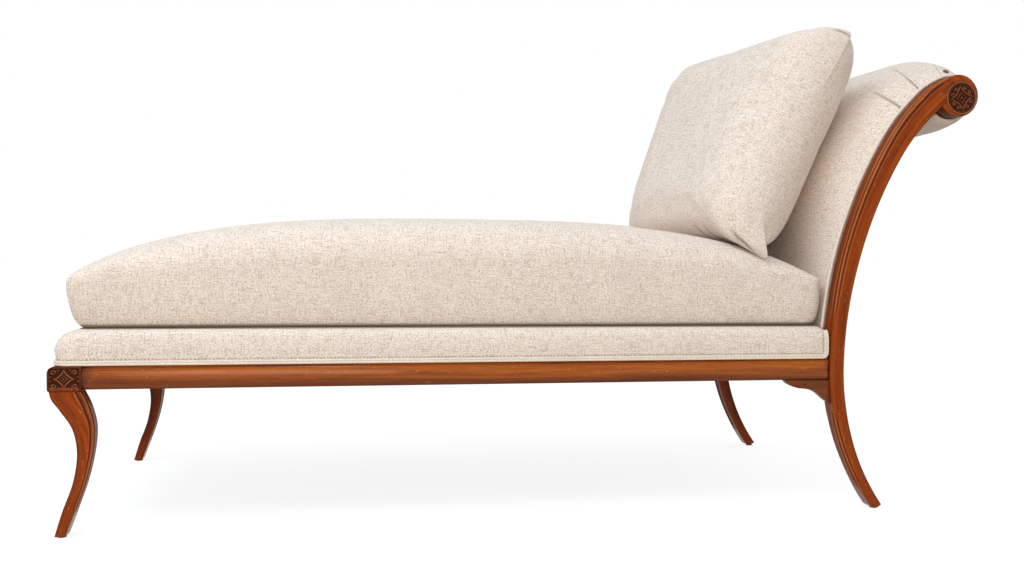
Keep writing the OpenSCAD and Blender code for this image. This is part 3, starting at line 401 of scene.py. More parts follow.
quarter = math.radians(90)
orange, brown, pale = linear(200, 106, 30), linear(118, 48, 4), linear(232, 172, 108)
upright_light, upright_dark = linear(184, 82, 12), linear(108, 38, 2)
# The rails and knee brackets are painted darker near the foot block, near the stile and low down: painted
# shade.
show_along = wood_finish("stained wood along the seat", (0, 0, 0), orange, brown, pale,
                         coat=0.32, gloss=0.05, shade_and_polish=linear(66, 28, 12),
                         ends=(foot_x + block_length, rail_end))
show_across = wood_finish("stained wood across the seat", (0, 0, quarter), orange, brown, pale)
shaped = {"wear": 0.45, "coat": 0.12, "follow": True, "highlight_and_wear": 0.35, "gloss": 0.05}
show_upright = wood_finish("stained wood of the stiles", (0, 0, quarter), upright_light,
                           upright_dark, pale, **shaped)
leg_wood = wood_finish("stained wood of the legs", (0, 0, quarter), linear(176, 76, 8),
                       linear(104, 36, 2), pale, **shaped)
# The carving's pale colour is a painted highlight on its raised lines, and its dark colour a painted shade
# in the ground, with some dark wax.
carved_wood = wood_finish("dark carved wood", (0, 0, 0), linear(124, 62, 30), linear(84, 38, 18),
                          linear(186, 122, 88), 0.1, follow=True,
                          shade_and_polish=linear(58, 22, 6), highlight_and_wear=0.65, gloss=0.08, relief=0.0005)
planed = (linear(206, 176, 132), linear(160, 122, 78), linear(222, 200, 160), 0.2, 0.0)
plain_along = wood_finish("planed wood along the seat", (0, 0, 0), *planed)
plain_across = wood_finish("planed wood across the seat", (0, 0, quarter), *planed)

# %% [markdown]
# ## Linen
# The cover is a flecked linen tweed: cream yarn with thicker tan and grey slubs in
# both directions. A slub is a short thick place in one thread, so it is drawn as
# noise that is long along the thread and one thread wide. The two directions cross
# on the cloth's own places, so the weave follows each piece like real cloth.

# %% The weave
weave, taken, given = new_group(
    "slub weave",
    [("Place", VECTOR, None), ("Yarn", COLOUR, None), ("Fleck", COLOUR, None),
     ("Grey", COLOUR, None), ("Pale", COLOUR, None), ("Slubs", FLOAT, 1.0)],
    [("Color", COLOUR), ("Height", FLOAT), ("Roughness", FLOAT)])
place = taken.outputs["Place"]
warp = noise(weave, stretch(weave, place, (520.0, 42.0, 1.0)), 1.0, 3.0, 0.65)
weft = noise(weave, stretch(weave, place, (38.0, 480.0, 1.0), (3.1, 7.7, 0.0)), 1.0, 3.0, 0.65)
specks = noise(weave, stretch(weave, place, (240.0, 400.0, 1.0), (9.0, 2.0, 0.0)), 1.0, 1.0, 0.5)
pale_specks = noise(weave, stretch(weave, place, (380.0, 240.0, 1.0), (5.0, 4.0, 0.0)), 1.0, 1.0, 0.5)
fine = noise(weave, stretch(weave, place, (500.0, 500.0, 1.0)), 1.0, 2.0, 0.6)
clouds = noise(weave, stretch(weave, place, (14.0, 7.0, 1.0)), 1.0, 4.0, 0.6)
tan = sum_of(weave, "MAXIMUM", between(weave, warp, 0.52, 0.66), between(weave, weft, 0.53, 0.67))
grey = between(weave, specks, 0.57, 0.7)
light = sum_of(weave, "MAXIMUM", between(weave, pale_specks, 0.55, 0.66), between(weave, weft, 0.42, 0.3))
tan = sum_of(weave, "MULTIPLY", sum_of(weave, "MULTIPLY", tan, 0.8), taken.outputs["Slubs"])
grey = sum_of(weave, "MULTIPLY", sum_of(weave, "MULTIPLY", grey, 0.62), taken.outputs["Slubs"])
light = sum_of(weave, "MULTIPLY", light, 0.85)
colour = mixed(weave, light, taken.outputs["Yarn"], taken.outputs["Pale"])
colour = mixed(weave, tan, colour, taken.outputs["Fleck"])
colour = mixed(weave, grey, colour, taken.outputs["Grey"])
dim = between(weave, clouds, 0.3, 0.7, 0.95, 1.03)
dim = sum_of(weave, "MULTIPLY", dim, between(weave, fine, 0.3, 0.7, 1.12, 0.84))
dimmed = add(weave, "ShaderNodeVectorMath", operation="SCALE")
weave.links.new(colour, dimmed.inputs[0])
weave.links.new(dim, dimmed.inputs["Scale"])
weave.links.new(dimmed.outputs["Vector"], given.inputs["Color"])
thread = sum_of(weave, "ADD", sum_of(weave, "ADD", warp, weft), sum_of(weave, "MULTIPLY", fine, 0.7))
weave.links.new(thread, given.inputs["Height"])
weave.links.new(between(weave, thread, 1.0, 1.8, 0.95, 0.8), given.inputs["Roughness"])


def cloth_finish(name, yarn, fleck, grey, pale, slubs=1.0, relief=0.0006, sheen=0.25,
                 on_cloth=True, scale=1.0):
    """Woven cloth, on the piece's own cloth places or on its place in space."""
    finish, tree, shader = new_finish(name, Specular_IOR_Level=0.2, Sheen_Weight=sheen,
                                      Sheen_Roughness=0.5)
    place = stretch(tree, place_on(tree, on_cloth), (scale, scale, scale))
    node = add(tree, "ShaderNodeGroup", {"Place": place}, node_tree=weave, Yarn=yarn,
               Fleck=fleck, Grey=grey, Pale=pale, Slubs=slubs)
    colour = node.outputs["Color"]
    if on_cloth:
        # Where a piece marks it, the cloth is mixed towards a dark taupe: painted shade in folds and along
        # the seat cushion's foot.
        marks = add(tree, "ShaderNodeAttribute", attribute_name="shade_and_polish").outputs["Fac"]
        colour = mixed(tree, marks, colour, linear(96, 78, 62))
    wire(tree, shader, colour, node.outputs["Roughness"], node.outputs["Height"], 0.5, relief)
    return finish


cream, tan_fleck = linear(234, 219, 206), linear(200, 176, 154)
grey_fleck, near_white = linear(150, 132, 118), linear(252, 244, 237)
linen = cloth_finish("flecked linen", cream, tan_fleck, grey_fleck, near_white)
trim_linen = cloth_finish("bias cut linen", linear(234, 220, 204), linear(212, 192, 168),
                          linear(196, 180, 164), near_white, 0.5)
jute = cloth_finish("jute webbing", linear(176, 148, 104), linear(130, 98, 60),
                    linear(150, 130, 100), linear(200, 176, 134), 1.0, 0.0012, 0.1, False, 0.5)
black_cloth = cloth_finish("black dust cloth", linear(34, 33, 33), linear(20, 20, 20),
                           linear(46, 46, 46), linear(52, 51, 50), 0.6, 0.0004, 0.1, False, 0.7)
foam = cloth_finish("foam", linear(232, 220, 176), linear(214, 198, 150),
                    linear(222, 210, 170), linear(240, 232, 200), 0.5, 0.0012, 0.1, False, 0.6)
ticking = cloth_finish("pillow ticking", linear(236, 232, 224), linear(222, 216, 204),
                       linear(226, 222, 214), linear(244, 242, 238), 0.5, 0.0005, 0.2, False, 1.0)


# %% Small metal, glides and thread
def mottled_finish(name, colour, rough, scale=300.0, detail=3.0, shade=0.6, spread=0.15,
                   strength=0.3, **plain):
    """A hard glide, a nail, a waxed thread or dull metal: one colour, mottled with
    a darker shade of itself, and unevenly polished."""
    finish, tree, shader = new_finish(name, **plain)
    patches = noise(tree, place_on(tree, False), scale, detail, 0.6)
    dark = tuple(shade * c for c in colour[:3]) + (1.0,)
    wire(tree, shader, mixed(tree, between(tree, patches, 0.3, 0.7), dark, colour),
         between(tree, patches, 0.3, 0.7, rough, rough + spread), patches, strength, 0.0001)
    return finish


metal = {"scale": 260.0, "detail": 4.0, "shade": 0.7, "spread": 0.2, "strength": 0.2,
         "Metallic": 1.0}
screw_steel = mottled_finish("screw steel", linear(176, 174, 168), 0.35, **metal)
zip_brass = mottled_finish("zip brass", linear(176, 146, 88), 0.35, **metal)
glide_black = mottled_finish("dark glides", linear(44, 36, 30), 0.4)
nail_brown = mottled_finish("nail brown", linear(92, 78, 52), 0.4)
thread_tan = mottled_finish("waxed thread", linear(170, 146, 116), 0.7)
zip_tape = cloth_finish("zip tape", linear(216, 204, 186), linear(190, 170, 146),
                        linear(200, 190, 178), linear(230, 222, 208), 0.3, 0.0003, 0.1, False, 1.5)

# %% Finishes for the pieces that stay as measured
measured_finishes = (
    (show_along, ["side_rail_near", "side_rail_far", "knee_bracket_near", "knee_bracket_far"]),
    (show_across, ["foot_rail"]),
    (plain_across, ["rear_seat_rail", "head_rail", "back_lower_rail", "back_middle_rail",
                    "crest_rail", "seat_bearers"]),
    (plain_along, ["corner_blocks"]),
    (screw_steel, ["corner_screws"]),
    (glide_black, ["glides"]),
    (jute, ["seat_webbing_long", "seat_webbing_cross", "back_webbing"]),
    (foam, ["seat_cushion_core"]),
    (ticking, ["back_pillow_core"]),
    (zip_tape, ["seat_cushion_zip"]),
    (zip_brass, ["seat_cushion_zip_pull"]))
for finish, names in measured_finishes:
    for name in names:
        wood[name].data.materials.clear()
        wood[name].data.materials.append(finish)
    print(finish.name, "on", ", ".join(names))


# %% [markdown]
# ## The head stile
# The stile is one sawn board: a sabre leg below the seat, a long slow arc behind
# it, and a quick curl into the scroll. Its middle line is four arcs laid end to
# end, and its section is carried along them. A spokeshave leaves the section true
# to the sweep, which is why the section is set square to the line everywhere.

# %% The sweep
def facing(a):
    """The way the stile faces at angle a, in side view: level at 0, then tipping up."""
    a = np.radians(a)
    return np.stack([-np.cos(a), np.sin(a)], -1)


def arc_run(radius, start, end):
    """Way travelled along an arc of this radius from one angle to another."""
    start, end = np.radians(start), np.radians(end)
    return radius * np.stack([np.cos(start) - np.cos(end), np.sin(end) - np.sin(start)], -1)


def sweep(a):
    """The middle line at angle a: the run of each arc that lies below a, added up."""
    a = np.asarray(a, float)
    return np.array([knee_x, knee_height]) + (
        arc_run(sabre_radius, 0.0, np.minimum(a, 0.0))
        + arc_run(back_radius, 0.0, np.clip(a, 0.0, back_angle))
        + arc_run(neck_radius, back_angle, np.clip(a, back_angle, neck_angle))
        + arc_run(curl_radius, neck_angle, np.clip(a, neck_angle, curl_angle)))


def half_stile(a):
    """Half the stile's width at angle a, from the leg's foot to the curl."""
    stations = [foot_angle * s for s in (1, 0.68, 0.44, 0.22)] + [0] + [
        back_angle * s for s in (0.28, 0.5, 0.7)] + [back_angle] + [38, neck_angle, 50, 54, curl_angle]
    shares = [0.56, 0.63, 0.73, 0.8, 0.815, 0.86, 0.94, 0.975, 1.05, 1.12, 1.16, 1.13, 1.03, 0.74]
    return 0.019 * through(a, stations, shares)


curl_end = sweep(curl_angle)
scroll = curl_end - facing(curl_angle) * (scroll_radius - half_stile(curl_angle) - curl_swell)


def front_edge(a):
    """The stile's front edge; past the curl it runs round the scroll."""
    a = np.asarray(a, float)
    swell = through(a, [neck_angle, 54, curl_angle], [0, 0.0045, curl_swell])
    on_stile = sweep(a) + facing(a) * (half_stile(a) + swell)[..., None]
    on_scroll = scroll + facing(a) * scroll_radius
    return np.where((a <= curl_angle)[..., None], on_stile, on_scroll)


def rear_edge(a):
    """The stile's rear edge."""
    return sweep(a) - facing(a) * half_stile(a)[..., None]


stile_x = knee_x - float(half_stile(np.array(0.0)))
print("stile face at", round(stile_x, 4), "scroll at", scroll.round(4))


# %% The moulded section
def moulding(strength):
    """The front edge's section from the outer face inwards: a rounded arris, a
    groove, a bead and a long shallow cove. Columns: way in, rise."""
    way = np.array([0, 0.3, 1.1, 2.0, 3.2, 4.2, 5.0, 5.8, 6.5, 7.3, 8.2, 9.2, 10.2, 11.0, 11.8,
                    12.8, 14.5, 18, 24, 30, 34, 34.9, 35.7, 36]) / 1000
    full = np.array([-2.0, -1.1, -0.3, 0, 0, -0.6, -1.9, -2.8, -3.0, -2.8, -1.6, 0.3, 1.1, 1.4,
                     1.1, 0.2, -0.5, -0.8, -0.9, -0.8, -0.8, -1.1, -1.9, -2.8]) / 1000
    bare = np.array([-2.0, -1.1, -0.3] + [0] * 18 + [-0.3, -1.1, -2.0]) / 1000
    return way, bare + (full - bare) * strength


# Marks at each point of the moulding: above 0 dark, painted shade in the groove
# and cove; below 0 light, painted highlight on the bead and arris with some wear.
moulding_light_and_shade = np.array([-.2, -.8, -.8, -.2, .2, .7, 1, 1, 1, 1, .8, 0, -.8, -1, -.8, .6, .6, .3,
                        .3, .3, .2, .1, 0, 0])
face_count = 24
# The sunk line on the outer face: its depth, and its marks, dark in the line as painted shade and light at
# its edges as painted highlight.
face_groove = np.zeros((2, face_count))
face_groove[:, -6:-1] = [[0, 0.0007, 0.0011, 0.0004, 0], [-0.6, 0.5, 1, 0.8, -0.3]]
plain_way = np.array([36, 35.7, 34.9, 34, 24, 12, 2, 1.1, 0.3, 0]) / 1000
plain_rise = np.array([2, 1.1, 0.3, 0, 0, 0, 0, 0.3, 1.1, 2]) / 1000


def section_loft(front_points, rear_points, normals, strength, way_in=1.0, step_in=0.0):
    """Carries the section along: the moulded edge stands off the front line and
    the plain edge off the rear line, both along the normals. way_in narrows the
    section, and step_in sets it back from the outer face."""
    way = moulding(0.0)[0]
    rise = np.stack([moulding(s)[1] for s in strength])
    front = front_points[:, None, :] + normals[:, None, :] * rise[..., None]
    rear = rear_points[:, None, :] + normals[:, None, :] * plain_rise[None, :, None]
    slide = np.linspace(0, 1, face_count + 1)[1:, None]
    face = rear[:, -1:] + (front[:, :1] - rear[:, -1:]) * slide
    side = np.concatenate([front, rear, face], 1)
    across = np.concatenate([way, plain_way, np.zeros(face_count)]) * way_in
    level_part = np.zeros(len(way) + len(plain_way))
    sunk = np.concatenate([level_part, face_groove[0]])[None] * np.asarray(strength)[:, None]
    across = -half_width + step_in + across[None] + sunk
    grid = np.stack([side[..., 0], across, side[..., 1]], -1)
    return with_ends(grid)


stile_steps = np.concatenate([np.linspace(foot_angle, 0, 60), np.linspace(0, curl_angle, 140)[1:]])
strength = through(stile_steps, [foot_angle * 0.84, foot_angle * 0.76, foot_angle * 0.36,
                                 foot_angle * 0.27, back_angle * 0.17, back_angle * 0.3, 58, 62],
                   [0, 1, 1, 0, 0, 1, 1, 0])
stile_grid = section_loft(front_edge(stile_steps), rear_edge(stile_steps), facing(stile_steps),
                          strength)
stile_grid[..., 2] = np.maximum(stile_grid[..., 2], glide_height)


def light_and_shade_rows(strengths):
    """Painted shade and highlight over a whole loft, half dark along the plain rear
    edge: the section's share of them times the moulding's strength at each station,
    and none on the two closed ends."""
    held = np.concatenate([moulding_light_and_shade, np.full(len(plain_way), 0.5), face_groove[1]])
    held = held[None] * strengths[:, None]
    return np.pad(held, ((1, 1), (0, 0)))


# Painted shade in the stile's groove and cove, and painted highlight on its bead and arris.
stile_light_and_shade = light_and_shade_rows(strength)


# %% The scroll
def ring(centre, radius, y, turns):
    """A circle in the side view's plane at depth y; radius may change round it."""
    return np.stack([centre[0] + radius * np.cos(turns), np.full_like(turns, y),
                     centre[1] + radius * np.sin(turns)], -1)


turns = np.linspace(0, 2 * np.pi, 97)
roundel_radius, roundel_depth, roundel_margin = 0.0355, 0.006, 0.0025
roundel_mid = scroll + scroll_radius * np.array([0.13, -0.11])


def clear_for_roundel(grid):
    """Makes room in the stile's outer face: points just inside the roundel's edge
    slide out to it, and points further in sink behind it."""
    way = grid[..., [0, 2]] - roundel_mid
    reach = np.hypot(way[..., 0], way[..., 1])
    on_face = grid[..., 1] < -half_width + 0.0012
    at_edge = on_face & (reach < roundel_radius) & (reach > roundel_radius - roundel_margin)
    well_inside = on_face & (reach <= roundel_radius - roundel_margin)
    slid = roundel_mid + way * np.where(at_edge, (roundel_radius + hair) / reach, 1.0)[..., None]
    sunk = np.where(well_inside, -half_width + 0.0075, grid[..., 1])
    return np.stack([slid[..., 0], sunk, slid[..., 1]], -1)


stile_grid = clear_for_roundel(stile_grid)
outer = -half_width + 0.0005
arris_radius = 0.0022
arris = arris_radius * (1 - np.cos(np.linspace(0, np.pi / 2, 5)))
drop = arris_radius * (1 - np.sin(np.linspace(0, np.pi / 2, 5)))
scroll_rings = [ring(scroll, 1e-6, -inner_face, turns)]
scroll_rings += [ring(scroll, scroll_radius - a, -inner_face - d, turns)
                 for a, d in zip(drop, arris_radius - drop[::-1])]
scroll_rings += [ring(scroll, scroll_radius - a, outer + d, turns)
                 for a, d in zip(arris, drop)]
scroll_rings += [ring(roundel_mid, roundel_radius + hair, y, turns)
                 for y in (outer, outer + roundel_depth)]
scroll_rings += [ring(roundel_mid, 1e-6, outer + roundel_depth, turns)]
scroll_grid = np.stack(scroll_rings)
scroll_dark = np.zeros(scroll_grid.shape[:2])
scroll_dark[1:7] = 0.75

for side, turn_over in sides:
    sew("stile_" + side, [(turn_over(stile_grid), cloth_places(stile_grid), stile_light_and_shade),
                          (turn_over(scroll_grid), cloth_places(scroll_grid), scroll_dark)],
        "frame", show_upright, ["head_stile_" + side], sharp=32)

# %% [markdown]
# ## The foot leg
# The foot legs are sabre legs under a square carved block. A carver first turns
# the block's edge into a bullnose, then sinks a field in its face and leaves the
# star, its dot and the leaf curls standing. The carving is a height over the
# face, so it is a surface over a fine grid, not a pile of small solids.

# %% The leg's curve
# Columns: share of the leg's height, and its two edges as shares of the block's length.
leg_rows = np.array([
    [1.03, 0.03, 0.9], [0.95, 0.11, 1.09], [0.87, 0.36, 1.23], [0.74, 0.72, 1.345],
    [0.57, 0.85, 1.285], [0.37, 0.725, 1.085], [0.17, 0.41, 0.78], [0, 0.18, 0.5]])


def along_rows(rows, u):
    """A smooth run through a table's rows: a cubic whose slope at each row is half
    the way between its neighbours."""
    s = np.clip(u, 0, 1) * (len(rows) - 1)
    i = np.minimum(s.astype(int), len(rows) - 2)
    f = (s - i)[:, None]
    row = lambda k: rows[np.clip(k, 0, len(rows) - 1)]
    a, b = row(i), row(i + 1)
    return (a * (2 * f**3 - 3 * f**2 + 1) + b * (3 * f**2 - 2 * f**3)
            + (b - row(i - 1)) / 2 * (f**3 - 2 * f**2 + f) + (row(i + 2) - a) / 2 * (f**3 - f**2))


block_bottom = rail_top - block_height
leg = along_rows(leg_rows, np.linspace(1, 0, 90))
leg_z = glide_height + (block_bottom - glide_height) * leg[:, 0]
leg_strength = through(leg[:, 0], [0, 0.14, 0.2, 0.93, 1], [0, 0, 1, 1, 1]) * 0.5
level = np.broadcast_to([1.0, 0.0], (len(leg), 2))
leg_slim, leg_set_in = 35 / 36, 0.001
leg_front = np.stack([foot_x + block_length * leg[:, 2], leg_z], -1)
leg_rear = np.stack([foot_x + block_length * leg[:, 1], leg_z], -1)
leg_grid = section_loft(leg_front, leg_rear, level, leg_strength, leg_slim, leg_set_in)
# Painted shade and highlight on the leg's moulding, as on the stile.
leg_light_and_shade = light_and_shade_rows(leg_strength * 2)


# %% The block and its carving
def ray_outline(points, centre, turns):
    """A closed outline seen from a centre: its distance in each direction."""
    way = points - centre
    angle, reach = np.arctan2(way[:, 1], way[:, 0]), np.hypot(way[:, 0], way[:, 1])
    order = np.argsort(angle)
    angle, reach = angle[order], reach[order]
    angle = np.concatenate([angle - 2 * np.pi, angle, angle + 2 * np.pi])
    heading = (turns + np.pi) % (2 * np.pi) - np.pi
    return np.interp(heading, angle, np.tile(reach, 3))


def rounded_box(x0, x1, z0, z1, radii, count=400):
    """Outline of a box with its own radius at each corner, as many points."""
    corners = [(x1, z1, 0), (x0, z1, 90), (x0, z0, 180), (x1, z0, 270)]
    out = []
    for (x, z, start), r in zip(corners, radii):
        t = np.radians(np.linspace(start, start + 90, 24))
        cx, cz = x + (r if x == x0 else -r), z + (r if z == z0 else -r)
        out.append(np.stack([cx + r * np.cos(t), cz + r * np.sin(t)], -1))
    out = np.concatenate(out + [out[0][:1]])
    walked = np.concatenate([[0], np.cumsum(np.hypot(*np.diff(out, axis=0).T))])
    place = np.linspace(0, walked[-1], count)
    return np.stack([np.interp(place, walked, out[:, k]) for k in (0, 1)], -1)


block_turns = np.linspace(0, 2 * np.pi, 145)
block_mid = np.array([foot_x + block_length / 2, rail_top - block_height / 2])
block_edge = rounded_box(foot_x, foot_x + block_length, block_bottom, rail_top,
                         (0.001, 0.013, 0.005, 0.001))
block_reach = ray_outline(block_edge, block_mid, block_turns)
field_margin, field_depth = 0.004, 0.0016
field_half = np.array([block_length / 2 - field_margin, block_height / 2 - field_margin])
field_edge = rounded_box(*(block_mid[0] + field_half[0] * np.array([-1, 1])),
                         *(block_mid[1] + field_half[1] * np.array([-1, 1])), (0.001,) * 4)
field_reach = ray_outline(field_edge, block_mid, block_turns)
pole = np.full_like(block_turns, 1e-6)
block_rings = [ring(block_mid, r, y, block_turns) for r, y in (
    (pole, -inner_face), (block_reach - 0.001, -inner_face),
    (block_reach, -inner_face - 0.001), (block_reach, -half_width + 0.0012),
    (block_reach - 0.0004, -half_width + 0.0004), (block_reach - 0.0012, -half_width),
    (field_reach + 0.0012, -half_width), (field_reach + 0.0004, -half_width + 0.0005),
    (field_reach, -half_width + field_depth), (field_reach * 0.9, -half_width + 0.0022),
    (pole, -half_width + 0.0022))]
block_grid = np.stack(block_rings)


def ridge(distance, width):
    """A round carved ridge: full height on its line, gone at one width from it."""
    return np.clip(1 - (distance / width) ** 2, 0, 1) ** 0.7


def star_line(x, z, reach, hollow=0.72):
    """Distance from a hollow-sided four-pointed star's outline, about right near
    it: the sum of the two places' powers is 1 on the outline."""
    value = (np.abs(x / reach[0]) ** hollow + np.abs(z / reach[1]) ** hollow + 1e-9) ** (1 / hollow)
    return np.abs(value - 1) * min(reach) * 0.75


def leaf_curl(x, z, centre, turn, size):
    """Height of a small leaf curl: a spiral ridge that opens into a tail."""
    dx, dz = x - centre[0], z - centre[1]
    reach, angle = np.hypot(dx, dz), (np.arctan2(dz, dx) - turn) % (2 * np.pi)
    spiral = size * (0.42 + 0.62 * angle / (2 * np.pi))
    height = ridge(np.abs(reach - spiral), size * 0.24)
    return np.maximum(height, ridge(reach, size * 0.3))


def block_carving(x, z):
    """Height of the block's carving over its sunk field, 0 to 1."""
    a, b = field_half
    height = ridge(star_line(x, z, (a * 0.66, b * 0.88)), 0.0024)
    height = np.maximum(height, 0.7 * ridge(star_line(x, z, (a * 0.3, b * 0.42)), 0.0014))
    height = np.maximum(height, ridge(np.hypot(x, z), 0.0019))
    for sx in (-1, 1):
        for sz in (-1, 1):
            curl = leaf_curl(x * sx, z * sz, (a * 0.72, b * 0.62), math.radians(200), 0.0046)
            height = np.maximum(height, curl)
            for u, v in ((0.4, 0.84), (0.93, 0.2)):
                bud = np.hypot(x - sx * a * u, z - sz * b * v)
                height = np.maximum(height, 0.8 * ridge(bud, 0.0021))
    return height


cx, cz = np.meshgrid(np.linspace(-field_half[0], field_half[0], 151),
                     np.linspace(-field_half[1], field_half[1], 115))
carved = block_carving(cx, cz)
carving_grid = np.stack([block_mid[0] + cx, -half_width + field_depth - field_depth * carved,
                         block_mid[1] + cz], -1)
backing = carving_grid.copy()
backing[..., 1] = -half_width + 0.003
rims = rims_between(carving_grid, backing)
for side, turn_over in sides:
    sew("foot_leg_shaped_" + side, [(turn_over(leg_grid), cloth_places(leg_grid), leg_light_and_shade),
                                    (turn_over(block_grid), cloth_places(block_grid),
                                     np.full(block_grid.shape[:2], 0.62))],
        "frame", leg_wood, ["foot_leg_" + side], sharp=32)
    patches = [(turn_over(g), cloth_places(g)) for g in [backing] + rims]
    # The carving's ground is painted dark and its raised lines light: painted shade and painted highlight,
    # with some wear and dark wax.
    patches += [(turn_over(carving_grid), cloth_places(carving_grid), 1 - 2 * carved)]
    sew("block_carving_" + side, patches, "frame", carved_wood, sharp=50)


# %% The roundel
def roundel_carving(reach, angle):
    """Height of the roundel over its ground: a rim, a hollow-sided star with its
    dot, and four curls between the points."""
    x, z = reach * np.cos(angle), reach * np.sin(angle)
    r = roundel_radius
    height = ridge(np.abs(reach - r * 0.93), 0.0022)
    height = np.maximum(height, 0.55 * ridge(np.abs(reach - r * 0.82), 0.0012))
    height = np.maximum(height, ridge(star_line(x, z, (r * 0.74, r * 0.74), 0.7), 0.0019))
    height = np.maximum(height, 0.8 * ridge(star_line(x, z, (r * 0.36, r * 0.36), 0.7), 0.0013))
    height = np.maximum(height, ridge(reach, 0.0026))
    for k in range(4):
        turn = math.radians(45 + 90 * k)
        cx, cz = math.cos(-turn), math.sin(-turn)
        px, pz = x * cx - z * cz, x * cz + z * cx
        for sign in (-1, 1):
            height = np.maximum(height, leaf_curl(px, pz * sign, (r * 0.56, r * 0.17),
                                                  math.radians(150), 0.0042))
    return height


reach, angle = np.meshgrid(np.linspace(0, roundel_radius, 76), np.linspace(0, 2 * np.pi, 241),
                           indexing="ij")
raised = roundel_carving(reach, angle)
tilt = math.radians(10)
roundel_grid = np.stack([roundel_mid[0] + reach * np.cos(angle + tilt),
                         -half_width + 0.0012 - 0.0018 * raised,
                         roundel_mid[1] + reach * np.sin(angle + tilt)], -1)
back_rings = np.stack([roundel_grid[-1], roundel_grid[-1] * [1, 0, 1] + [0, -half_width + 0.0057, 0],
                       np.broadcast_to([roundel_mid[0], -half_width + 0.0057, roundel_mid[1]],
                                       roundel_grid[-1].shape)])
for side, turn_over in sides:
    # The roundel's ground is painted dark and its raised lines light: painted shade and painted highlight,
    # with some wear and dark wax.
    sew("carved_roundel_" + side, [(turn_over(roundel_grid), cloth_places(roundel_grid), 1 - 2 * raised),
                                   (turn_over(back_rings), cloth_places(back_rings))],
        "frame", carved_wood, ["roundel_" + side], sharp=50)


# %% [markdown]
# ## The deck
# Under the loose cushion the seat is a stuffed deck: padding over webbing, covered
# in the same linen, with a boxed edge that a double welt finishes against the rail.
# It is a stack of outlines in plan, and the long sides, the foot and the head
# each stand in by a profile of their own.

# %% The deck
deck_set_in, deck_round = 0.006, 0.040
deck_x0, deck_x1 = foot_x + deck_set_in, stile_x - hair
deck_side, deck_bottom = half_width - deck_set_in, rail_top + hair
rise_at = [0, 0.14, 0.42, 0.64, 0.79, 0.91, 1]
side_in = [0.02, 0.01, 0, 0.04, 0.1, 0.25, 0.75]
foot_in = [0.1, 0.08, 0, 0.1, 0.28, 0.55, 1]
head_in = [0.02, 0.01, 0, 0.02, 0.04, 0.18, 0.4]
deck_corner = deck_round * 0.65


def plan_ring(x0, x1, y, foot_corner, head_corner):
    """A rectangle in plan with round corners, walked the same way at every
    height, so that rings stacked up line up corner for corner."""
    long, short = 130, 60
    bend = np.linspace(0, np.pi / 2, 13)
    f, h = foot_corner, head_corner
    near = np.stack([np.linspace(x0 + f, x1 - h, long), np.full(long, -y)], -1)
    head = np.stack([np.full(short, x1), np.linspace(-y + h, y - h, short)], -1)
    far = near[::-1] * [1, -1]
    foot = np.stack([np.full(short, x0), np.linspace(y - f, -y + f, short)], -1)
    arc = lambda cx, cy, r, start: np.stack([cx + r * np.cos(start + bend),
                                             cy + r * np.sin(start + bend)], -1)
    return np.concatenate([
        near, arc(x1 - h, -y + h, h, -np.pi / 2), head, arc(x1 - h, y - h, h, 0.0), far,
        arc(x0 + f, y - f, f, np.pi / 2), foot, arc(x0 + f, -y + f, f, np.pi), near[:1]])


def deck_ring(share):
    """The deck's outline at a share of its height."""
    ring = plan_ring(deck_x0 + deck_round * through(share, rise_at, foot_in),
                     deck_x1 - deck_round * through(share, rise_at, head_in),
                     deck_side - deck_round * through(share, rise_at, side_in),
                     deck_corner, deck_corner * 0.3)
    height = deck_bottom + (deck_height - hair) * share
    return np.concatenate([ring, np.full((len(ring), 1), height)], -1)


def shrunk(ring, share, z):
    """A ring drawn in towards its own middle, at a height."""
    middle = np.array([(ring[:, 0].min() + ring[:, 0].max()) / 2, 0.0, 0.0])
    out = (ring - middle) * [share, share, 1] + middle
    out[:, 2] = z
    return out


shares = np.sin(np.linspace(0, np.pi / 2, 34))
deck_rows = [deck_ring(s) for s in shares]
top = deck_rows[-1]
flat = [shrunk(top, k, deck_top) for k in (0.985, 0.96, 0.9, 0.8, 0.6, 0.4, 0.2, 1e-6)]
hollow_z = rail_top + 0.0455
inner = plan_ring(foot_x + 0.022 - hair, stile_x - 0.005, half_width - 0.016 + hair, 0.002, 0.002)
inner = np.concatenate([inner, np.full((len(inner), 1), deck_bottom)], -1)
underside = [shrunk(inner, 1e-6, hollow_z), shrunk(inner, 0.5, hollow_z),
             shrunk(inner, 1.0, hollow_z), inner]
deck_grid = np.stack(underside + deck_rows + flat)


def points_of(mesh):
    """All the points of a mesh, as rows."""
    flat = np.empty(len(mesh.vertices) * 3)
    mesh.vertices.foreach_get("co", flat)
    return flat.reshape(-1, 3)


def cut_places(piece):
    """Cloth places for a shaped cover: each face takes the two directions that it
    faces least, as a cutter lays the cloth square on each panel."""
    mesh = piece.data
    normals = np.empty(len(mesh.polygons) * 3)
    mesh.polygons.foreach_get("normal", normals)
    facing_way = np.abs(normals.reshape(-1, 3)).argmax(1)
    corners = np.empty(len(mesh.loops), int)
    mesh.loops.foreach_get("vertex_index", corners)
    totals = np.empty(len(mesh.polygons), int)
    mesh.polygons.foreach_get("loop_total", totals)
    pairs = np.array([[1, 2], [0, 2], [0, 1]])[np.repeat(facing_way, totals)]
    places = np.take_along_axis(points_of(mesh)[corners], pairs, 1)
    mesh.uv_layers["cloth"].data.foreach_set("uv", places.astype(np.float32).ravel())


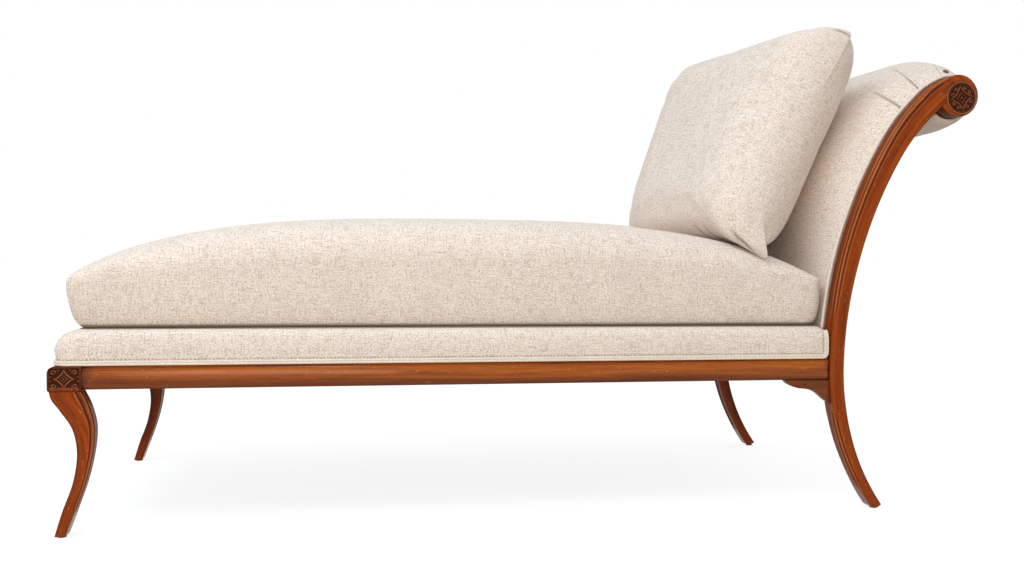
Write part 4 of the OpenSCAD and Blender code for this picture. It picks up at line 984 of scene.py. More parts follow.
# Painted shade: the deck's shoulder and the rim of its top are painted darker where the cushion sits on
# them.
deck_shade = np.zeros(deck_grid.shape[:2])
deck_shade[4:4 + len(shares)] = through(shares, [0, 0.975, 0.992, 1], [0, 0, 0.75, 1])[:, None]
deck_shade[4 + len(shares):] = np.array([0.6, 0.55, 0.12, 0, 0, 0, 0, 0])[:, None]
deck = sew("deck", [(deck_grid, cloth_places(deck_grid), deck_shade)], "frame", linen,
           ["deck_pad"])
cut_places(deck)

# %% [markdown]
# ## Welts and stitching
# A double welt is two thin cords covered in bias strip and stitched side by side.
# Its section is carried along its path with no twist. The hand stitching above it
# is a row of short sunk thread stitches, each a few millimetres long.

# %% A section carried along a path
def carry(path, out_way, across_way, section):
    """Carries a closed section along a path: each point of it goes along the way
    out and the way across that the path has there."""
    grid = (path[:, None, :] + out_way[:, None, :] * section[None, :, 0, None]
            + across_way[:, None, :] * section[None, :, 1, None])
    return with_ends(grid)


def two_cords(width, height, count=33):
    """Section of a double welt: two half rounds side by side with a sewn valley."""
    t = np.linspace(0, 1, count)
    rise = height * (0.8 + 0.2 * np.abs(np.sin(2 * np.pi * t)) ** 0.6)
    rise[[0, -1]] = 0.0
    return np.concatenate([np.stack([rise, width * (1 - t)], -1), [[0.0, width]]])


welt_width, welt_thickness = 0.009, 0.0046
welt_turn = welt_width * 1.5
rear_x = stile_x - 0.0006 - welt_thickness / 2


def deck_inset(z):
    """How far the deck's side stands in at a height."""
    return deck_round * through((z - rail_top) / deck_height, rise_at, side_in)


bend = np.radians(np.linspace(0, -90, 26))
up = np.linspace(rail_top + deck_height * 0.9, deck_bottom + welt_turn, 18)[:-1]
rear_run = np.stack([np.full_like(up, rear_x), up], -1)
turn_run = np.stack([rear_x - welt_turn + welt_turn * np.cos(bend),
                     deck_bottom + welt_turn + welt_turn * np.sin(bend)], -1)
rear_in = np.broadcast_to([-1.0, 0.0], rear_run.shape)
turn_in = np.stack([-np.cos(bend), -np.sin(bend)], -1)
welt_x0 = deck_x0 + deck_round * 0.07
straight = np.linspace(rear_x - welt_turn, welt_x0 + deck_corner, 220)[1:]
straight_run = np.stack([straight, np.full_like(straight, deck_bottom)], -1)
straight_in = np.broadcast_to([0.0, 1.0], straight_run.shape)
run = np.concatenate([rear_run, turn_run, straight_run])
inward = np.concatenate([rear_in, turn_in, straight_in])
inset = np.maximum(0, np.minimum(deck_inset(run[:, 1]), deck_inset(run[:, 1] + inward[:, 1] * welt_width))
                   - 0.0006)
near_path = np.stack([run[:, 0], -deck_side - hair + inset, run[:, 1]], -1)
near_out = np.broadcast_to([0.0, -1.0, 0.0], near_path.shape)
near_across = np.stack([inward[:, 0], np.zeros(len(run)), inward[:, 1]], -1)
arc = np.radians(np.linspace(-90, -180, 30))[1:]
foot_path = np.stack([welt_x0 + deck_corner + (deck_corner + hair) * np.cos(arc),
                      deck_corner - deck_side + (deck_corner + hair) * np.sin(arc),
                      np.full_like(arc, deck_bottom)], -1)
foot_out = np.stack([np.cos(arc), np.sin(arc), np.zeros_like(arc)], -1)
foot_across = np.broadcast_to([0.0, 0.0, 1.0], foot_path.shape)
half_path = np.concatenate([near_path, foot_path])
half_out, half_across = np.concatenate([near_out, foot_out]), np.concatenate([near_across, foot_across])
path = np.concatenate([half_path, mirrored(half_path[::-1])])
out_way = np.concatenate([half_out, mirrored(half_out[::-1])])
across_way = np.concatenate([half_across, mirrored(half_across[::-1])])
welt_grid = carry(path, out_way, across_way, two_cords(welt_width, welt_thickness))
welt = sew("deck_double_welt", laid(welt_grid), "frame", trim_linen, ["deck_welt"])


def stitches(name, points, outward, length, gap, body, lift, radius):
    """A row of short round-ended stitches along a path, each a small bead of
    thread half sunk in the cloth."""
    step = np.linalg.norm(np.diff(points, axis=0), axis=1)
    walked = np.concatenate([[0], np.cumsum(step)])
    starts = np.arange(gap, walked[-1] - length, length + gap)
    at = lambda rows, s: np.stack([np.interp(s, walked, rows[:, k]) for k in range(3)], -1)
    along = np.array([0.0, 0.12, 0.5, 0.88, 1.0])
    thick = np.array([0.05, 0.8, 1.0, 0.8, 0.05])
    around = np.linspace(0, 2 * np.pi, 7)[:-1]
    spots = at(points, (starts[:, None] + along * length).ravel()).reshape(-1, len(along), 3)
    normal = at(outward, starts + length / 2)
    normal /= np.linalg.norm(normal, axis=1)[:, None]
    way = spots[:, -1] - spots[:, 0]
    way /= np.linalg.norm(way, axis=1)[:, None]
    side = np.cross(way, normal)
    body_points = (spots[:, :, None, :]
                   + (normal[:, None, None, :] * np.cos(around)[None, None, :, None]
                      + side[:, None, None, :] * np.sin(around)[None, None, :, None])
                   * thick[None, :, None, None] * radius + normal[:, None, None, :] * lift)
    count = len(starts)
    index = np.arange(count * len(along) * len(around))
    index = index.reshape(count, len(along), len(around))
    nxt = np.roll(index, -1, axis=2)
    walls = np.stack([index[:, :-1], nxt[:, :-1], nxt[:, 1:], index[:, 1:]], -1).reshape(-1, 4)
    mesh = bpy.data.meshes.new(name)
    faces = walls.tolist() + index[:, 0, ::-1].tolist() + index[:, -1].tolist()
    mesh.from_pydata(body_points.reshape(-1, 3).tolist(), [], faces)
    shell = bmesh.new()
    shell.from_mesh(mesh)
    bmesh.ops.recalc_face_normals(shell, faces=shell.faces)
    shell.to_mesh(mesh)
    shell.free()
    mesh.polygons.foreach_set("use_smooth", np.ones(len(mesh.polygons), bool))
    piece = bpy.data.objects.new(name, mesh)
    bpy.context.scene.collection.objects.link(piece)
    mesh.materials.append(thread_tan)
    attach(piece, body)
    print(name, count, "stitches")
    return piece


stitch_rise = welt_width + 0.0024
seam_path = half_path + half_across * stitch_rise + half_out * 0.0003
seam_path = np.concatenate([seam_path, mirrored(seam_path[::-1])])
stitches("deck_stitches", seam_path, out_way, 0.0042, 0.0026, "frame", 0.0001, 0.00055)

# %% [markdown]
# ## The inside back
# The back is webbed, padded and covered like the seat, and the padding thins out
# over the crest into the roll behind the scroll. The pad's surface stands off the
# stile's own front line, fullest in the middle, so that it always follows the
# sweep. Where cloth turns the corner of the roll, its edge is laid in pleats.

# %% The inside back
pad_half, pad_under = inner_face - 0.0066, 0.009
crown_at = [0, 6.6, 8.4, 15, 27, 46, 62, 90, 180, 270, 360]
crown = [0.02, 0.02, 0.06, 0.42, 1, 1, 0.88, 0.86, 0.36, 0.2, 0.1]
low_angle = math.degrees(math.asin((deck_top - 0.008 - knee_height) / back_radius))
pad_steps = np.concatenate([np.linspace(low_angle, 38, 80), np.linspace(38, curl_angle, 90)[1:],
                            np.linspace(curl_angle, 312, 150)[1:]])
pad_t = np.sin(np.linspace(-np.pi / 2, np.pi / 2, 151))


def fold(distance, width):
    """Section of a pressed pleat: it rises slowly to its edge and drops sharply."""
    u = distance / width
    return np.where(u < 0, np.exp(-(u / 1.6) ** 2), -0.8 * np.exp(-(u / 0.5) ** 2))


pleat_rows = ((42.2, 8.0, 0.30, 0.0034), (51.6, 19.5, 0.38, 0.0036), (72.8, 93.0, 0.22, 0.003),
              (104.0, 40.0, 0.16, 0.0026), (140.0, 40.0, 0.14, 0.002))


def pleats_at(a, t):
    """Height of the pleats laid at the ends of the roll, and a painted shade along
    each fold line: each starts at the edge at its own angle, leans as it goes in,
    and dies away."""
    height, crease_shade = 0.0, 0.0
    for at, slope, reach, depth in pleat_rows:
        off = a - (at + (1 - np.abs(t)) * slope)
        hold = np.clip((np.abs(t) - (1 - reach)) / reach, 0, 1) ** 0.6
        hold = hold * np.clip((1 - np.abs(t)) / 0.01, 0, 1)
        height = height + depth * hold * fold(off, 1.0 + slope / 80)
        crease_shade = np.maximum(crease_shade, 0.7 * hold * bump_at(off, 0.3, 0.35 + slope / 140))
    return height, crease_shade


def back_surface(a, t):
    """The pad's face at angle a and share t across: the stile's front line, plus an
    edge thickness, plus the crown where it is full, plus the pleats at its ends."""
    full = np.maximum(1 - np.abs(t) ** through(a, [0, 30, 46, 360], [2.6, 2.6, 4, 4]), 0) ** 0.8
    stand = through(a, [0, 90, 180, 360], [0.003, 0.003, 0.009, 0.009])
    stand = stand + 0.068 * through(a, crown_at, crown) * full
    soft = 0.0012 * np.sin(9 * t + 0.11 * a) * full * np.sin(a * 0.21)
    return stand + pleats_at(a, t)[0] + soft


A, T = np.meshgrid(pad_steps, pad_t, indexing="ij")
edge, way = front_edge(A), facing(A)
stand = back_surface(A, T)
face = stood_off(edge, way, stand, T * pad_half)
under = stood_off(edge, way, -pad_under, T * pad_half)
back_places = np.stack([T * pad_half, lengths_along(face, 0)], -1)
# The face carries the painted shade along the pleats' fold lines.
back_patches = [(face, back_places, pleats_at(A, T)[1]), (under, back_places)]
inside_back = sew("inside_back_pad", back_patches + laid(*rims_between(face, under)), "frame",
                  linen, ["inside_back"], sharp=70)

# %% The welts beside the back
cord_turns = np.linspace(0, 2 * np.pi, 15)
welt_radius = 0.0034
cord_section = welt_radius * np.stack([np.cos(cord_turns), np.sin(cord_turns)], -1)
line, lean = front_edge(pad_steps), facing(pad_steps)
cord_path = stood_off(line, lean, welt_radius, np.full(len(line), -inner_face + welt_radius))
cord_out = np.stack([lean[:, 0], np.zeros(len(line)), lean[:, 1]], -1)
cord_across = np.broadcast_to([0.0, 1.0, 0.0], cord_out.shape)
cord_grid = carry(cord_path, cord_out, cord_across, cord_section)
for side, turn_over in sides:
    cord = sew("back_cord_" + side, laid(turn_over(cord_grid)), "frame", trim_linen,
               ["back_welt_" + side])

# %% [markdown]
# ## The outside back and the dust cover
# The outside back is one flat panel stretched over the rear of the frame and
# hand sewn along its edges, and the dust cover is thin black cloth tacked under
# the seat. Both are single stretched sheets, so each is one grid with a little
# give between the wood that holds it.

# %% The outside back and the dust cover
inner_wide, lining_depth = inner_face - hair, 0.0048
# The panel's lower edge lies below the knee, so its angle is one of the sabre leg's.
lowest_angle = math.degrees(math.asin((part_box("outside_back")[0].z - knee_height) / sabre_radius))
back_steps = np.linspace(lowest_angle, neck_angle + (curl_angle - neck_angle) * 0.45, 120)
A, T = np.meshgrid(back_steps, np.linspace(-1, 1, 81), indexing="ij")
line, way = rear_edge(A), facing(A)
give = 0.0012 * (1 - T**2) * np.sin(np.pi * (A - A.min()) / (A.max() - A.min()))
hem = 0.0014 * bump_at(np.abs(T), 0.965, 0.008)
pucker = 0.0005 * np.sin(A * 9.0) * np.clip((np.abs(T) - 0.9) / 0.1, 0, 1)
deep = 0.001 + give + hem + pucker
panel = stood_off(line, way, deep, T * inner_wide)
lining = stood_off(line, way, lining_depth, T * inner_wide)
outside = sew("outside_back_cover", laid(panel, lining, *rims_between(panel, lining)), "frame",
              linen, ["outside_back"], sharp=60)

low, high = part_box("dust_cover")
px, py = np.meshgrid(np.linspace(low.x, high.x, 181), np.linspace(low.y, high.y, 81), indexing="ij")
u, v = (px - low.x) / (high.x - low.x), (py - low.y) / (high.y - low.y)
slack = 16 * u * (1 - u) * v * (1 - v)
edge_pull = np.sin(u * 120) * np.clip(1 - 8 * np.minimum(v, 1 - v), 0, 1)
sag = 0.0016 * slack * (1 + 0.3 * np.sin(u * 23) * np.sin(v * 7)) + 0.0003 * edge_pull
cover_low = np.stack([px, py, low.z - sag], -1)
cover_high = np.stack([px, py, high.z - sag], -1)
rims = rims_between(cover_low, cover_high)
dust = sew("dust_cover_cloth", laid(cover_low, cover_high, *rims), "frame", black_cloth,
           ["dust_cover"], sharp=60)


# %% [markdown]
# ## The seat cushion
# A loose cushion is a crowned top, a flat underside and a wall between them, sewn
# at the rims. Each is a grid whose edge is the same outline, so the seams meet
# point for point. The wall stands in a little towards its foot, where the cushion
# presses on the deck, and its lower rows are painted darker, as painted shade there.

# %% The cushion's crown
cushion_x0, cushion_x1 = foot_x + 0.027, stile_x - 0.0055
cushion_mid, cushion_half = (cushion_x0 + cushion_x1) / 2, (cushion_x1 - cushion_x0) / 2
cushion_side, cushion_bottom = half_width - 0.030, deck_top + hair
wall_height, cushion_crown = 0.096, 0.120


def crown_height(x, y):
    """Height of the cushion over the deck: its edge plus a crown that is full in
    the middle, falls slowly to the ends and drops quickly at the long sides."""
    s = np.clip(np.abs(x - cushion_mid) / cushion_half, 0, 1)
    t = np.clip(np.abs(y) / cushion_side, 0, 1)
    return wall_height + cushion_crown * (1 - s**3) ** 0.7 * (1 - t**8) ** 0.5


def seam_reach(place, reach, other, corner, pull):
    """How far an outline lies from the middle line at a place along the other side:
    a rectangle with round corners and sides drawn in between them."""
    past = np.clip(np.abs(place) - (other - corner), 0, corner)
    rounded = reach - corner + np.sqrt(np.maximum(corner**2 - past**2, 0))
    return rounded - pull * (1 - np.clip(np.abs(place) / other, 0, 1) ** 2)


def line_mark(u, v, centre, way, length, width):
    """A soft mark along a short line: full on it, gone at its width and its ends."""
    way = np.array(way) / math.hypot(*way)
    along = (u - centre[0]) * way[0] + (v - centre[1]) * way[1]
    aside = (v - centre[1]) * way[0] - (u - centre[0]) * way[1]
    return np.exp(-((along / length) ** 4)) * np.exp(-((aside / width) ** 2))


def outline_of(grid):
    """The edge of a grid, walked once round."""
    return np.concatenate([grid[0], grid[1:, -1], grid[-1, -2::-1], grid[-2::-1, 0]])


cushion_corner, tuck_in = 0.020, 0.011
even = lambda count, crowd: ((1 - crowd) * np.linspace(-1, 1, count)
                             + crowd * np.sin(np.linspace(-1, 1, count) * np.pi / 2))
S, T = np.meshgrid(even(151, 0.3), even(71, 0.75), indexing="ij")
diagonal = cushion_corner * (1 - math.sin(math.pi / 4))
cx = S * seam_reach(T * (cushion_side - diagonal), cushion_half, cushion_side, cushion_corner, 0.0)
cy = T * seam_reach(S * (cushion_half - diagonal), cushion_side, cushion_half, cushion_corner, 0.007)
cushion_top = np.stack([cx, cy, crown_height(cx + cushion_mid, cy)], -1)
rim = outline_of(cushion_top)


def cushion_wall(h):
    """The side at a share of its height: it stands in towards its foot, most at the
    foot end, and its lower edge is gathered in short puckers."""
    foot_end = np.clip(-rim[:, 0] / cushion_half * 8 - 7, 0, 1)
    drawn = through(h, [0, 0.06, 0.2, 0.45, 1.0], [tuck_in, 0.0066, 0.003, 0.0, 0.0])
    drawn = drawn + foot_end * through(h, [0, 0.15, 0.5, 0.85, 1.0], [0.005, 0.003, 0.0, -0.005, 0])
    gather = sum(bump_at(rim[:, 0] + cushion_mid, at, 0.006) for at in (0.329, 0.451, -0.52, -0.11))
    gather = gather * (np.abs(rim[:, 1]) > cushion_side * 0.9)
    drawn_y = drawn + 0.004 * gather * through(h, [0, 0.25, 0.6, 1], [1, 0.8, 0, 0])
    return np.stack([rim[:, 0] * (1 - drawn / cushion_half), rim[:, 1] * (1 - drawn_y / cushion_side),
                     rim[:, 2] * h], -1)


heights = np.array([0, 0.012, 0.035, 0.1, 0.18, 0.28, 0.38, 0.48, 0.58, 0.69, 0.8, 0.9, 1.0])
walls = np.stack([cushion_wall(h) for h in heights])
underneath = np.stack([cx * (1 - (tuck_in + 0.012 * np.clip(-S * 8 - 7, 0, 1)) / cushion_half),
                       cy * (1 - tuck_in / cushion_side), 0 * cx], -1)
walls[0] = outline_of(underneath)
# Painted shade: the wall's lowest rows and the rim of the underside are painted darker, along the line
# where the cushion sits on the deck.
wall_shade = np.broadcast_to(through(heights, [0, 0.012, 0.035, 1], [1, 0.8, 0, 0])[:, None],
                            walls.shape[:2])
lift = np.array([cushion_mid, 0, cushion_bottom])
underneath_shade = np.clip(np.maximum(np.abs(S), np.abs(T)) * 20 - 19, 0, 1)
cushion_patches = [(g + lift, cloth_places(g), held) for g, held in (
    (cushion_top, 0 * cx), (walls, wall_shade), (underneath, underneath_shade))]
cushion = sew("cushion_cover", cushion_patches, "seat_cushion", linen,
              ["seat_cushion"])

# %% [markdown]
# ## Filling a sewn cover
# A cover is sewn smaller than its filling, and the filling stretches it smooth and
# makes it strain at the seams. Blender's cloth does the same: the cover is blown up
# from inside for twenty steps without weight, and no point may go further than a
# cap. Then it is pressed back from whatever it lies on.

# %% Filling
def relaxed(points, edges, rounds, share=0.5):
    """Rounds creases off: in each round, every point goes a share of the way to the
    mean of its neighbours."""
    count = np.bincount(edges.ravel(), minlength=len(points))[:, None]
    ends = np.concatenate([edges, edges[:, ::-1]])
    for _ in range(rounds):
        total = np.stack([np.bincount(ends[:, 0], points[ends[:, 1], k], len(points))
                          for k in range(3)], -1)
        points = points + share * (total / count - points)
    return points


def as_wide(new, old):
    """Stretches points about their middle, so that their box is no smaller than
    the old points' box: a cover is cut larger by what its filling draws in."""
    low, high = new.min(0), new.max(0)
    scale = np.maximum(1, (old.max(0) - old.min(0)) / (high - low))
    return (old.max(0) + old.min(0)) / 2 + (new - (low + high) / 2) * scale


def filled(piece, pressure, cap, limit, rounds, stiff=12.0):
    """Relaxes a cover, blows it up from inside in twenty steps with no weight, caps
    each point's way, draws it wide again, and holds it within limit(new points, old
    points)."""
    mesh = piece.data
    edges = np.empty(len(mesh.edges) * 2, int)
    mesh.edges.foreach_get("vertices", edges)
    start = points_of(mesh)
    soft = limit(as_wide(relaxed(start, edges.reshape(-1, 2), rounds), start), start)
    mesh.vertices.foreach_set("co", soft.ravel())
    trial = bpy.data.objects.new("trial cover", mesh.copy())
    bpy.context.scene.collection.objects.link(trial)
    cloth = trial.modifiers.new("filling", "CLOTH")
    cloth.settings.quality = 5
    cloth.settings.mass = 0.3
    cloth.settings.tension_stiffness = cloth.settings.compression_stiffness = stiff
    cloth.settings.shear_stiffness, cloth.settings.bending_stiffness = stiff * 0.4, 0.4
    cloth.settings.use_pressure, cloth.settings.uniform_pressure_force = True, pressure
    cloth.settings.effector_weights.gravity = 0.0
    for step in range(1, 21):
        bpy.context.scene.frame_set(step)
    held = trial.evaluated_get(bpy.context.evaluated_depsgraph_get())
    way = points_of(held.data) - soft
    far = np.linalg.norm(way, axis=1)[:, None]
    way = way * np.minimum(1, cap / np.maximum(far, 1e-9))
    bpy.context.scene.frame_set(1)
    bpy.data.objects.remove(trial)
    blown = as_wide(relaxed(soft + way, edges.reshape(-1, 2), 1, 0.3), start)
    mesh.vertices.foreach_set("co", limit(blown, start).ravel())
    print(piece.name, "moved up to", round(float(np.minimum(far, cap).max()) * 1000, 1), "mm")
    mesh.update()
    rounder = piece.modifiers.new("fine", "SUBSURF")
    rounder.levels = rounder.render_levels = 1


def cushion_limit(new, old):
    """Keeps the cushion off the deck and the back, and level under the pillow."""
    crown_top = cushion_bottom + crown_height(new[:, 0], new[:, 1])
    over = np.where(new[:, 0] > 0.2, 0.0, 0.002)
    rear = np.minimum(new[:, 0], cushion_x1 - 0.0005)
    high = np.where(old[:, 2] > cushion_bottom + wall_height * 0.99,
                    np.minimum(new[:, 2], crown_top + over), new[:, 2])
    high = np.where(old[:, 2] < cushion_bottom + 1e-6, cushion_bottom, np.maximum(high, cushion_bottom))
    return np.stack([np.where(old[:, 0] > cushion_x1 - 0.03, rear, new[:, 0]), new[:, 1], high], -1)


filled(cushion, 3.0, 0.007, cushion_limit, rounds=4)
cut_places(cushion)

# %% [markdown]
# ## The back pillow
# The pillow is two crowned panels sewn on one seam, and it stands on the cushion's
# crown and leans on the back. Its near end leans further than its far end, so the
# lean is a twist along its width. The cloth strains from its corners, so a few
# soft hollows run in from the near edge, and short tucks gather the seam.

# %% The pillow's shape
pillow_half, pillow_tall, pillow_corner = 0.303, 0.250, 0.026
pillow_mid = np.array([knee_x - 0.110, -0.004, deck_top + 0.407])
pillow_lean, pillow_twist, pillow_turn = 22.9, 4.3, 8.2
# Each mark: its middle and its way in shares of the panel, its length, width and depth.
strains = (
    ((-0.74, 0.34), (1, 0.22), 0.24, 0.040, 0.0034), ((-0.70, 0.12), (1, 0.10), 0.26, 0.045, 0.0030),
    ((-0.76, -0.12), (1, -0.05), 0.20, 0.035, 0.0028), ((-0.70, -0.36), (1, -0.2), 0.22, 0.04, 0.0026),
    ((-0.66, 0.62), (1, 0.55), 0.20, 0.034, 0.0030), ((0.62, 0.5), (1, -0.4), 0.20, 0.05, 0.0022),
    ((0.1, 0.84), (0.2, 1), 0.10, 0.05, 0.0022), ((0.66, -0.66), (1, 0.7), 0.2, 0.05, 0.002))
tucks = (
    ((-0.444, -0.96), (0.1, 1), 0.04, 0.016, 0.006), ((-0.58, -0.97), (-0.1, 1), 0.04, 0.016, 0.006),
    ((-0.93, -0.95), (0.5, 1), 0.05, 0.018, 0.008), ((-0.16, -0.97), (0.1, 1), 0.04, 0.016, 0.004),
    ((0.34, -0.97), (-0.1, 1), 0.04, 0.016, 0.004), ((-0.835, 0.955), (0.25, -1), 0.045, 0.013, 0.008),
    ((-0.80, 0.975), (1, -0.3), 0.035, 0.014, 0.004), ((-0.975, 0.955), (1, -0.1), 0.03, 0.018, 0.006),
    ((0.92, 0.93), (-0.8, -1), 0.08, 0.018, 0.006), ((0.9, -0.92), (-0.8, 1), 0.08, 0.018, 0.006))


def pillow_panel(front):
    """One panel of the pillow on a square grid of shares. Shares are sines, so that
    the rows crowd towards the seam, where the panel turns over most."""
    shares_of = lambda count: np.sin(np.sort(np.append(np.linspace(-1, 1, count), [-0.9945, 0.9945]))
                                     * np.pi / 2)
    T, S = np.meshgrid(shares_of(93), shares_of(109), indexing="ij")
    diagonal = pillow_corner * (1 - math.sin(math.pi / 4))
    wide = seam_reach(T * (pillow_tall - diagonal), pillow_half, pillow_tall, pillow_corner,
                      np.where(S > 0, 0.0, 0.011))
    tall = seam_reach(S * (pillow_half - diagonal), pillow_tall, pillow_half, pillow_corner,
                      np.where(T > 0, 0.003, 0.0))
    corner = lambda end, wide_: bump_at(S, -1, wide_) * bump_at(T, end, 0.16)
    across, up = S * wide, T * tall + 0.007 * corner(1, 0.13) - 0.024 * corner(-1, 0.22)
    near_seam = np.maximum(np.abs(S), np.abs(T))
    depth = 0.100 * np.sqrt(np.maximum((1 - S**6) * (1 - T**6), 0))
    hollows = sum(d * line_mark(S, T, at, way, long, wide_) for at, way, long, wide_, d in strains)
    pinched = sum(d * line_mark(S, T, at, way, long, wide_) for at, way, long, wide_, d in tucks)
    loose = np.minimum(depth / 0.03, 1)
    seam_back = bump_at(S, -1, 0.08) * through(T, [-1, -0.7, 0.1, 0.8, 1], [0.060, 0, 0, 0.018, 0.018])
    if front:
        depth = depth - (1.4 * hollows + pinched) * loose - seam_back
    else:
        ear = 0.011 * np.exp(-((S + 0.95) / 0.10) ** 2 - ((T - 0.86) / 0.12) ** 2)
        depth = -np.maximum(depth * (1 + 0.34 * (1 - near_seam)), seam_back) + (0.7 * pinched - ear) * loose
    low = np.clip(-up / pillow_tall, 0, 1)
    rise = up - 0.040 * (1 - near_seam) - np.maximum(depth, 0) * 0.2 * low
    lean = np.radians(pillow_lean - pillow_twist * across / pillow_half)
    turn = math.radians(pillow_turn)
    forth = rise * np.sin(lean) - depth * np.cos(lean)
    x = pillow_mid[0] + forth * math.cos(turn) - across * math.sin(turn)
    y = pillow_mid[1] + forth * math.sin(turn) + across * math.cos(turn)
    z = pillow_mid[2] + rise * np.cos(lean) + depth * np.sin(lean)
    points = np.stack([x, y, z], -1)
    points[..., 2] = np.maximum(z, pillow_floor(x, y))
    places = np.stack([np.arcsin(S) / (np.pi / 2) * pillow_half * 1.15,
                       np.arcsin(T) / (np.pi / 2) * pillow_tall * 1.15], -1)
    # Painted shade: darker along the tucks and along the seam, most at the top and bottom.
    creases = sum(line_mark(S, T, at, way, long, wide_ * 0.5) for at, way, long, wide_, d in tucks)
    seam = 0.5 * (near_seam > 0.99999) * through(T, [-1, -0.8, -0.5, 0.55, 0.9, 1],
                                                 [0.6, 0.3, 0, 0.1, 1, 1])
    return points, places, np.clip(seam + 0.8 * creases, 0, 0.75)


def pillow_floor(x, y):
    """Height of the seat cushion's crown, where the pillow stands on it."""
    inside = np.clip(x, cushion_x0 + 0.001, cushion_x1 - 0.001)
    return cushion_bottom + crown_height(inside, y) + 0.0015


def pillow_limit(new, old):
    """Keeps the pillow off the cushion, and off the back it leans on."""
    lean, turn = math.radians(pillow_lean), math.radians(pillow_turn)
    back_way = np.array([math.cos(lean) * math.cos(turn), math.cos(lean) * math.sin(turn),
                         -math.sin(lean)])
    toward = (new - old) @ back_way
    new = new - np.clip(toward - 0.003, 0, None)[:, None] * back_way
    low = np.maximum(new[:, 2], pillow_floor(new[:, 0], new[:, 1]))
    return np.stack([new[:, 0], new[:, 1], low], -1)


pillow = sew("pillow_cover", [pillow_panel(True), pillow_panel(False)], "back_pillow", linen,
             ["back_pillow"], doubles=2e-5)
filled(pillow, 3.0, 0.006, pillow_limit, rounds=2)

# %% [markdown]
# ## An upholstery nail
# One dark domed nail shows at the near end of the roll, where the last pleat is
# held. It is a low dome: a quarter circle turned round its middle line.

# %% The nail
nail_place, nail_radius, nail_height = (0.8668, -0.2922), 0.0062, 0.0028
rise, round_way = np.meshgrid(np.linspace(0, 1, 9), np.linspace(0, 2 * np.pi, 25), indexing="ij")
row, column = np.unravel_index(np.argmin(np.where(
    face[..., 2] > 0.9, np.abs(face[..., :2] - nail_place).sum(-1), 9)), face.shape[:2])
spot = face[row, column]
along = face[row + 2, column] - face[row - 2, column]
out = np.cross(face[row, column + 2] - face[row, column - 2], along)
along, out = along / np.linalg.norm(along), out / np.linalg.norm(out)
out = out * np.sign(out[2])
aside = np.cross(out, along)
turns = np.cos(round_way)[..., None] * along + np.sin(round_way)[..., None] * aside
dome = nail_radius * np.sin(rise * np.pi / 2)[..., None] * turns
dome = dome + (nail_height * np.cos(rise * np.pi / 2) + 0.0006)[..., None] * out
sole = np.stack([dome[-1] - 0.0012 * out, 0 * dome[-1] - 0.0006 * out])
shell = np.concatenate([dome, sole]) + spot
sew("upholstery_nail", laid(shell), "frame", nail_brown, sharp=50)

# %% [markdown]
# ## The room
# A plain pale floor and soft light. The floor and the room behind it show as white
# to the camera and to reflections, while the piece keeps its own shadow on the
# floor. The camera stands where the photograph was taken from.

# %% Floor, light and camera
def shown_as(tree, out, lit, seen):
    """Gives the camera, reflections and what shows through clear things one shader,
    and the light that falls on the piece the other."""
    rays = add(tree, "ShaderNodeLightPath")
    direct = sum_of(tree, "MAXIMUM", rays.outputs["Is Camera Ray"], rays.outputs["Is Glossy Ray"])
    direct = sum_of(tree, "MAXIMUM", direct, rays.outputs["Is Transmission Ray"])
    choice = add(tree, "ShaderNodeMixShader", {"Fac": direct})
    tree.links.new(lit, choice.inputs[1])
    tree.links.new(seen, choice.inputs[2])
    tree.links.new(choice.outputs["Shader"], out.inputs["Surface"])


floor_mesh = bpy.data.meshes.new("floor")
floor_mesh.from_pydata([(-30, -30, 0), (30, -30, 0), (30, 30, 0), (-30, 30, 0)], [], [(0, 1, 2, 3)])
floor = bpy.data.objects.new("floor", floor_mesh)
bpy.context.scene.collection.objects.link(floor)
floor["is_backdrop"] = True
paper = bpy.data.materials.new("pale floor")
paper.use_nodes = True
tree = paper.node_tree
tree.nodes.clear()
matt = add(tree, "ShaderNodeBsdfDiffuse", Color=(0.62, 0.57, 0.51, 1))
faint = add(tree, "ShaderNodeBsdfDiffuse", Color=(0.3, 0.3, 0.3, 1))
glow = add(tree, "ShaderNodeEmission", Strength=0.84)
both = add(tree, "ShaderNodeAddShader")
tree.links.new(faint.outputs["BSDF"], both.inputs[0])
tree.links.new(glow.outputs["Emission"], both.inputs[1])
shown_as(tree, add(tree, "ShaderNodeOutputMaterial"), matt.outputs["BSDF"], both.outputs["Shader"])
floor_mesh.materials.append(paper)

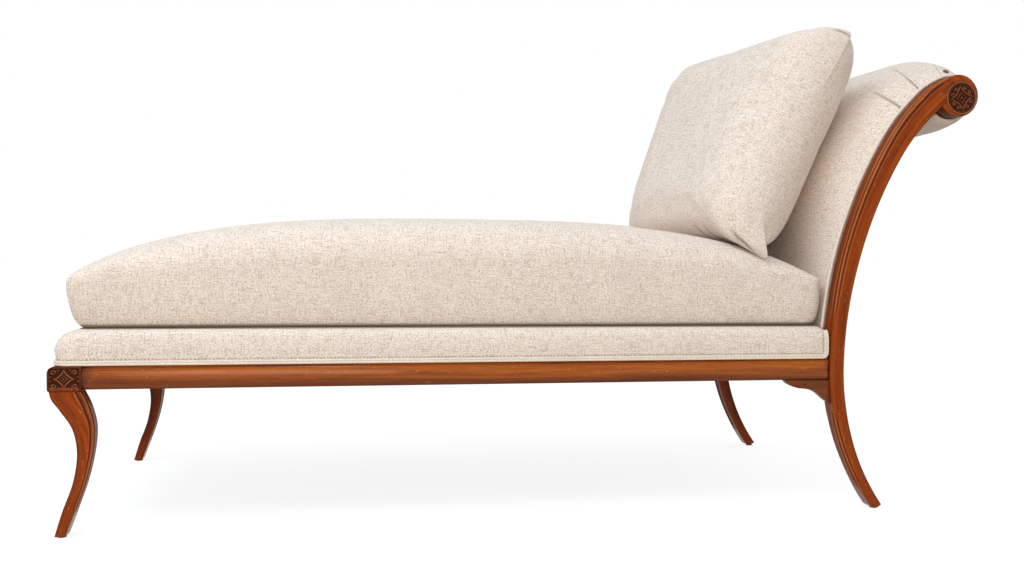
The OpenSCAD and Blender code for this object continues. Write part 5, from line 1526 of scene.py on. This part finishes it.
world = bpy.data.worlds.new("soft room")
bpy.context.scene.world = world
world.use_nodes = True
tree = world.node_tree
tree.nodes.clear()
dim_sky = add(tree, "ShaderNodeBackground", Color=(0.92, 0.97, 1, 1), Strength=0.64)
white_sky = add(tree, "ShaderNodeBackground", Color=(1, 1, 1, 1), Strength=1.0)
shown_as(tree, add(tree, "ShaderNodeOutputWorld"), dim_sky.outputs["Background"],
         white_sky.outputs["Background"])


def soft_light(name, place, aim, size, power, colour):
    """A softbox, wide and high as given, that looks at a point."""
    lamp = bpy.data.lights.new(name, "AREA")
    lamp.shape, lamp.size, lamp.size_y, lamp.energy, lamp.color = "RECTANGLE", *size, power, colour
    box = bpy.data.objects.new(name, lamp)
    bpy.context.scene.collection.objects.link(box)
    box.location = place
    box.rotation_mode = "QUATERNION"
    box.rotation_quaternion = (Vector(aim) - Vector(place)).to_track_quat("-Z", "Y")


soft_light("key", (-1.5, -1.7, 3.3), (-0.2, 0.0, 0.4), (3.0, 0.8), 71, (0.84, 0.92, 1.0))
soft_light("front fill", (-0.8, -3.4, 1.2), (0.2, 0.0, 0.5), (1.4, 1.4), 25, (1.0, 0.88, 0.76))

eye = bpy.data.cameras.new("eye")
eye.sensor_width, eye.lens = 36.0, 34.09
camera = bpy.data.objects.new("eye", eye)
bpy.context.scene.collection.objects.link(camera)
yaw, pitch, roll = (math.radians(v) for v in (9.2641, -1.9151, 0.5067))
ahead = Vector((math.sin(yaw) * math.cos(pitch), math.cos(yaw) * math.cos(pitch), math.sin(pitch)))
right = Vector((math.cos(yaw), -math.sin(yaw), 0))
above = right.cross(ahead)
right_rolled = right * math.cos(roll) + above * math.sin(roll)
above_rolled = above * math.cos(roll) - right * math.sin(roll)
turned = Matrix((right_rolled, above_rolled, -ahead)).transposed()
camera.rotation_mode = "QUATERNION"
camera.rotation_quaternion = turned.to_quaternion()
camera.location = (-0.389576, -2.216894, 0.539664)
bpy.context.scene.camera = camera
bpy.context.scene.view_settings.view_transform = "Standard"

# %% The size of the dressed piece, and the end
dressed_box = [list(corner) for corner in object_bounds()]
print("dressed box", [[round(v, 3) for v in corner] for corner in dressed_box])
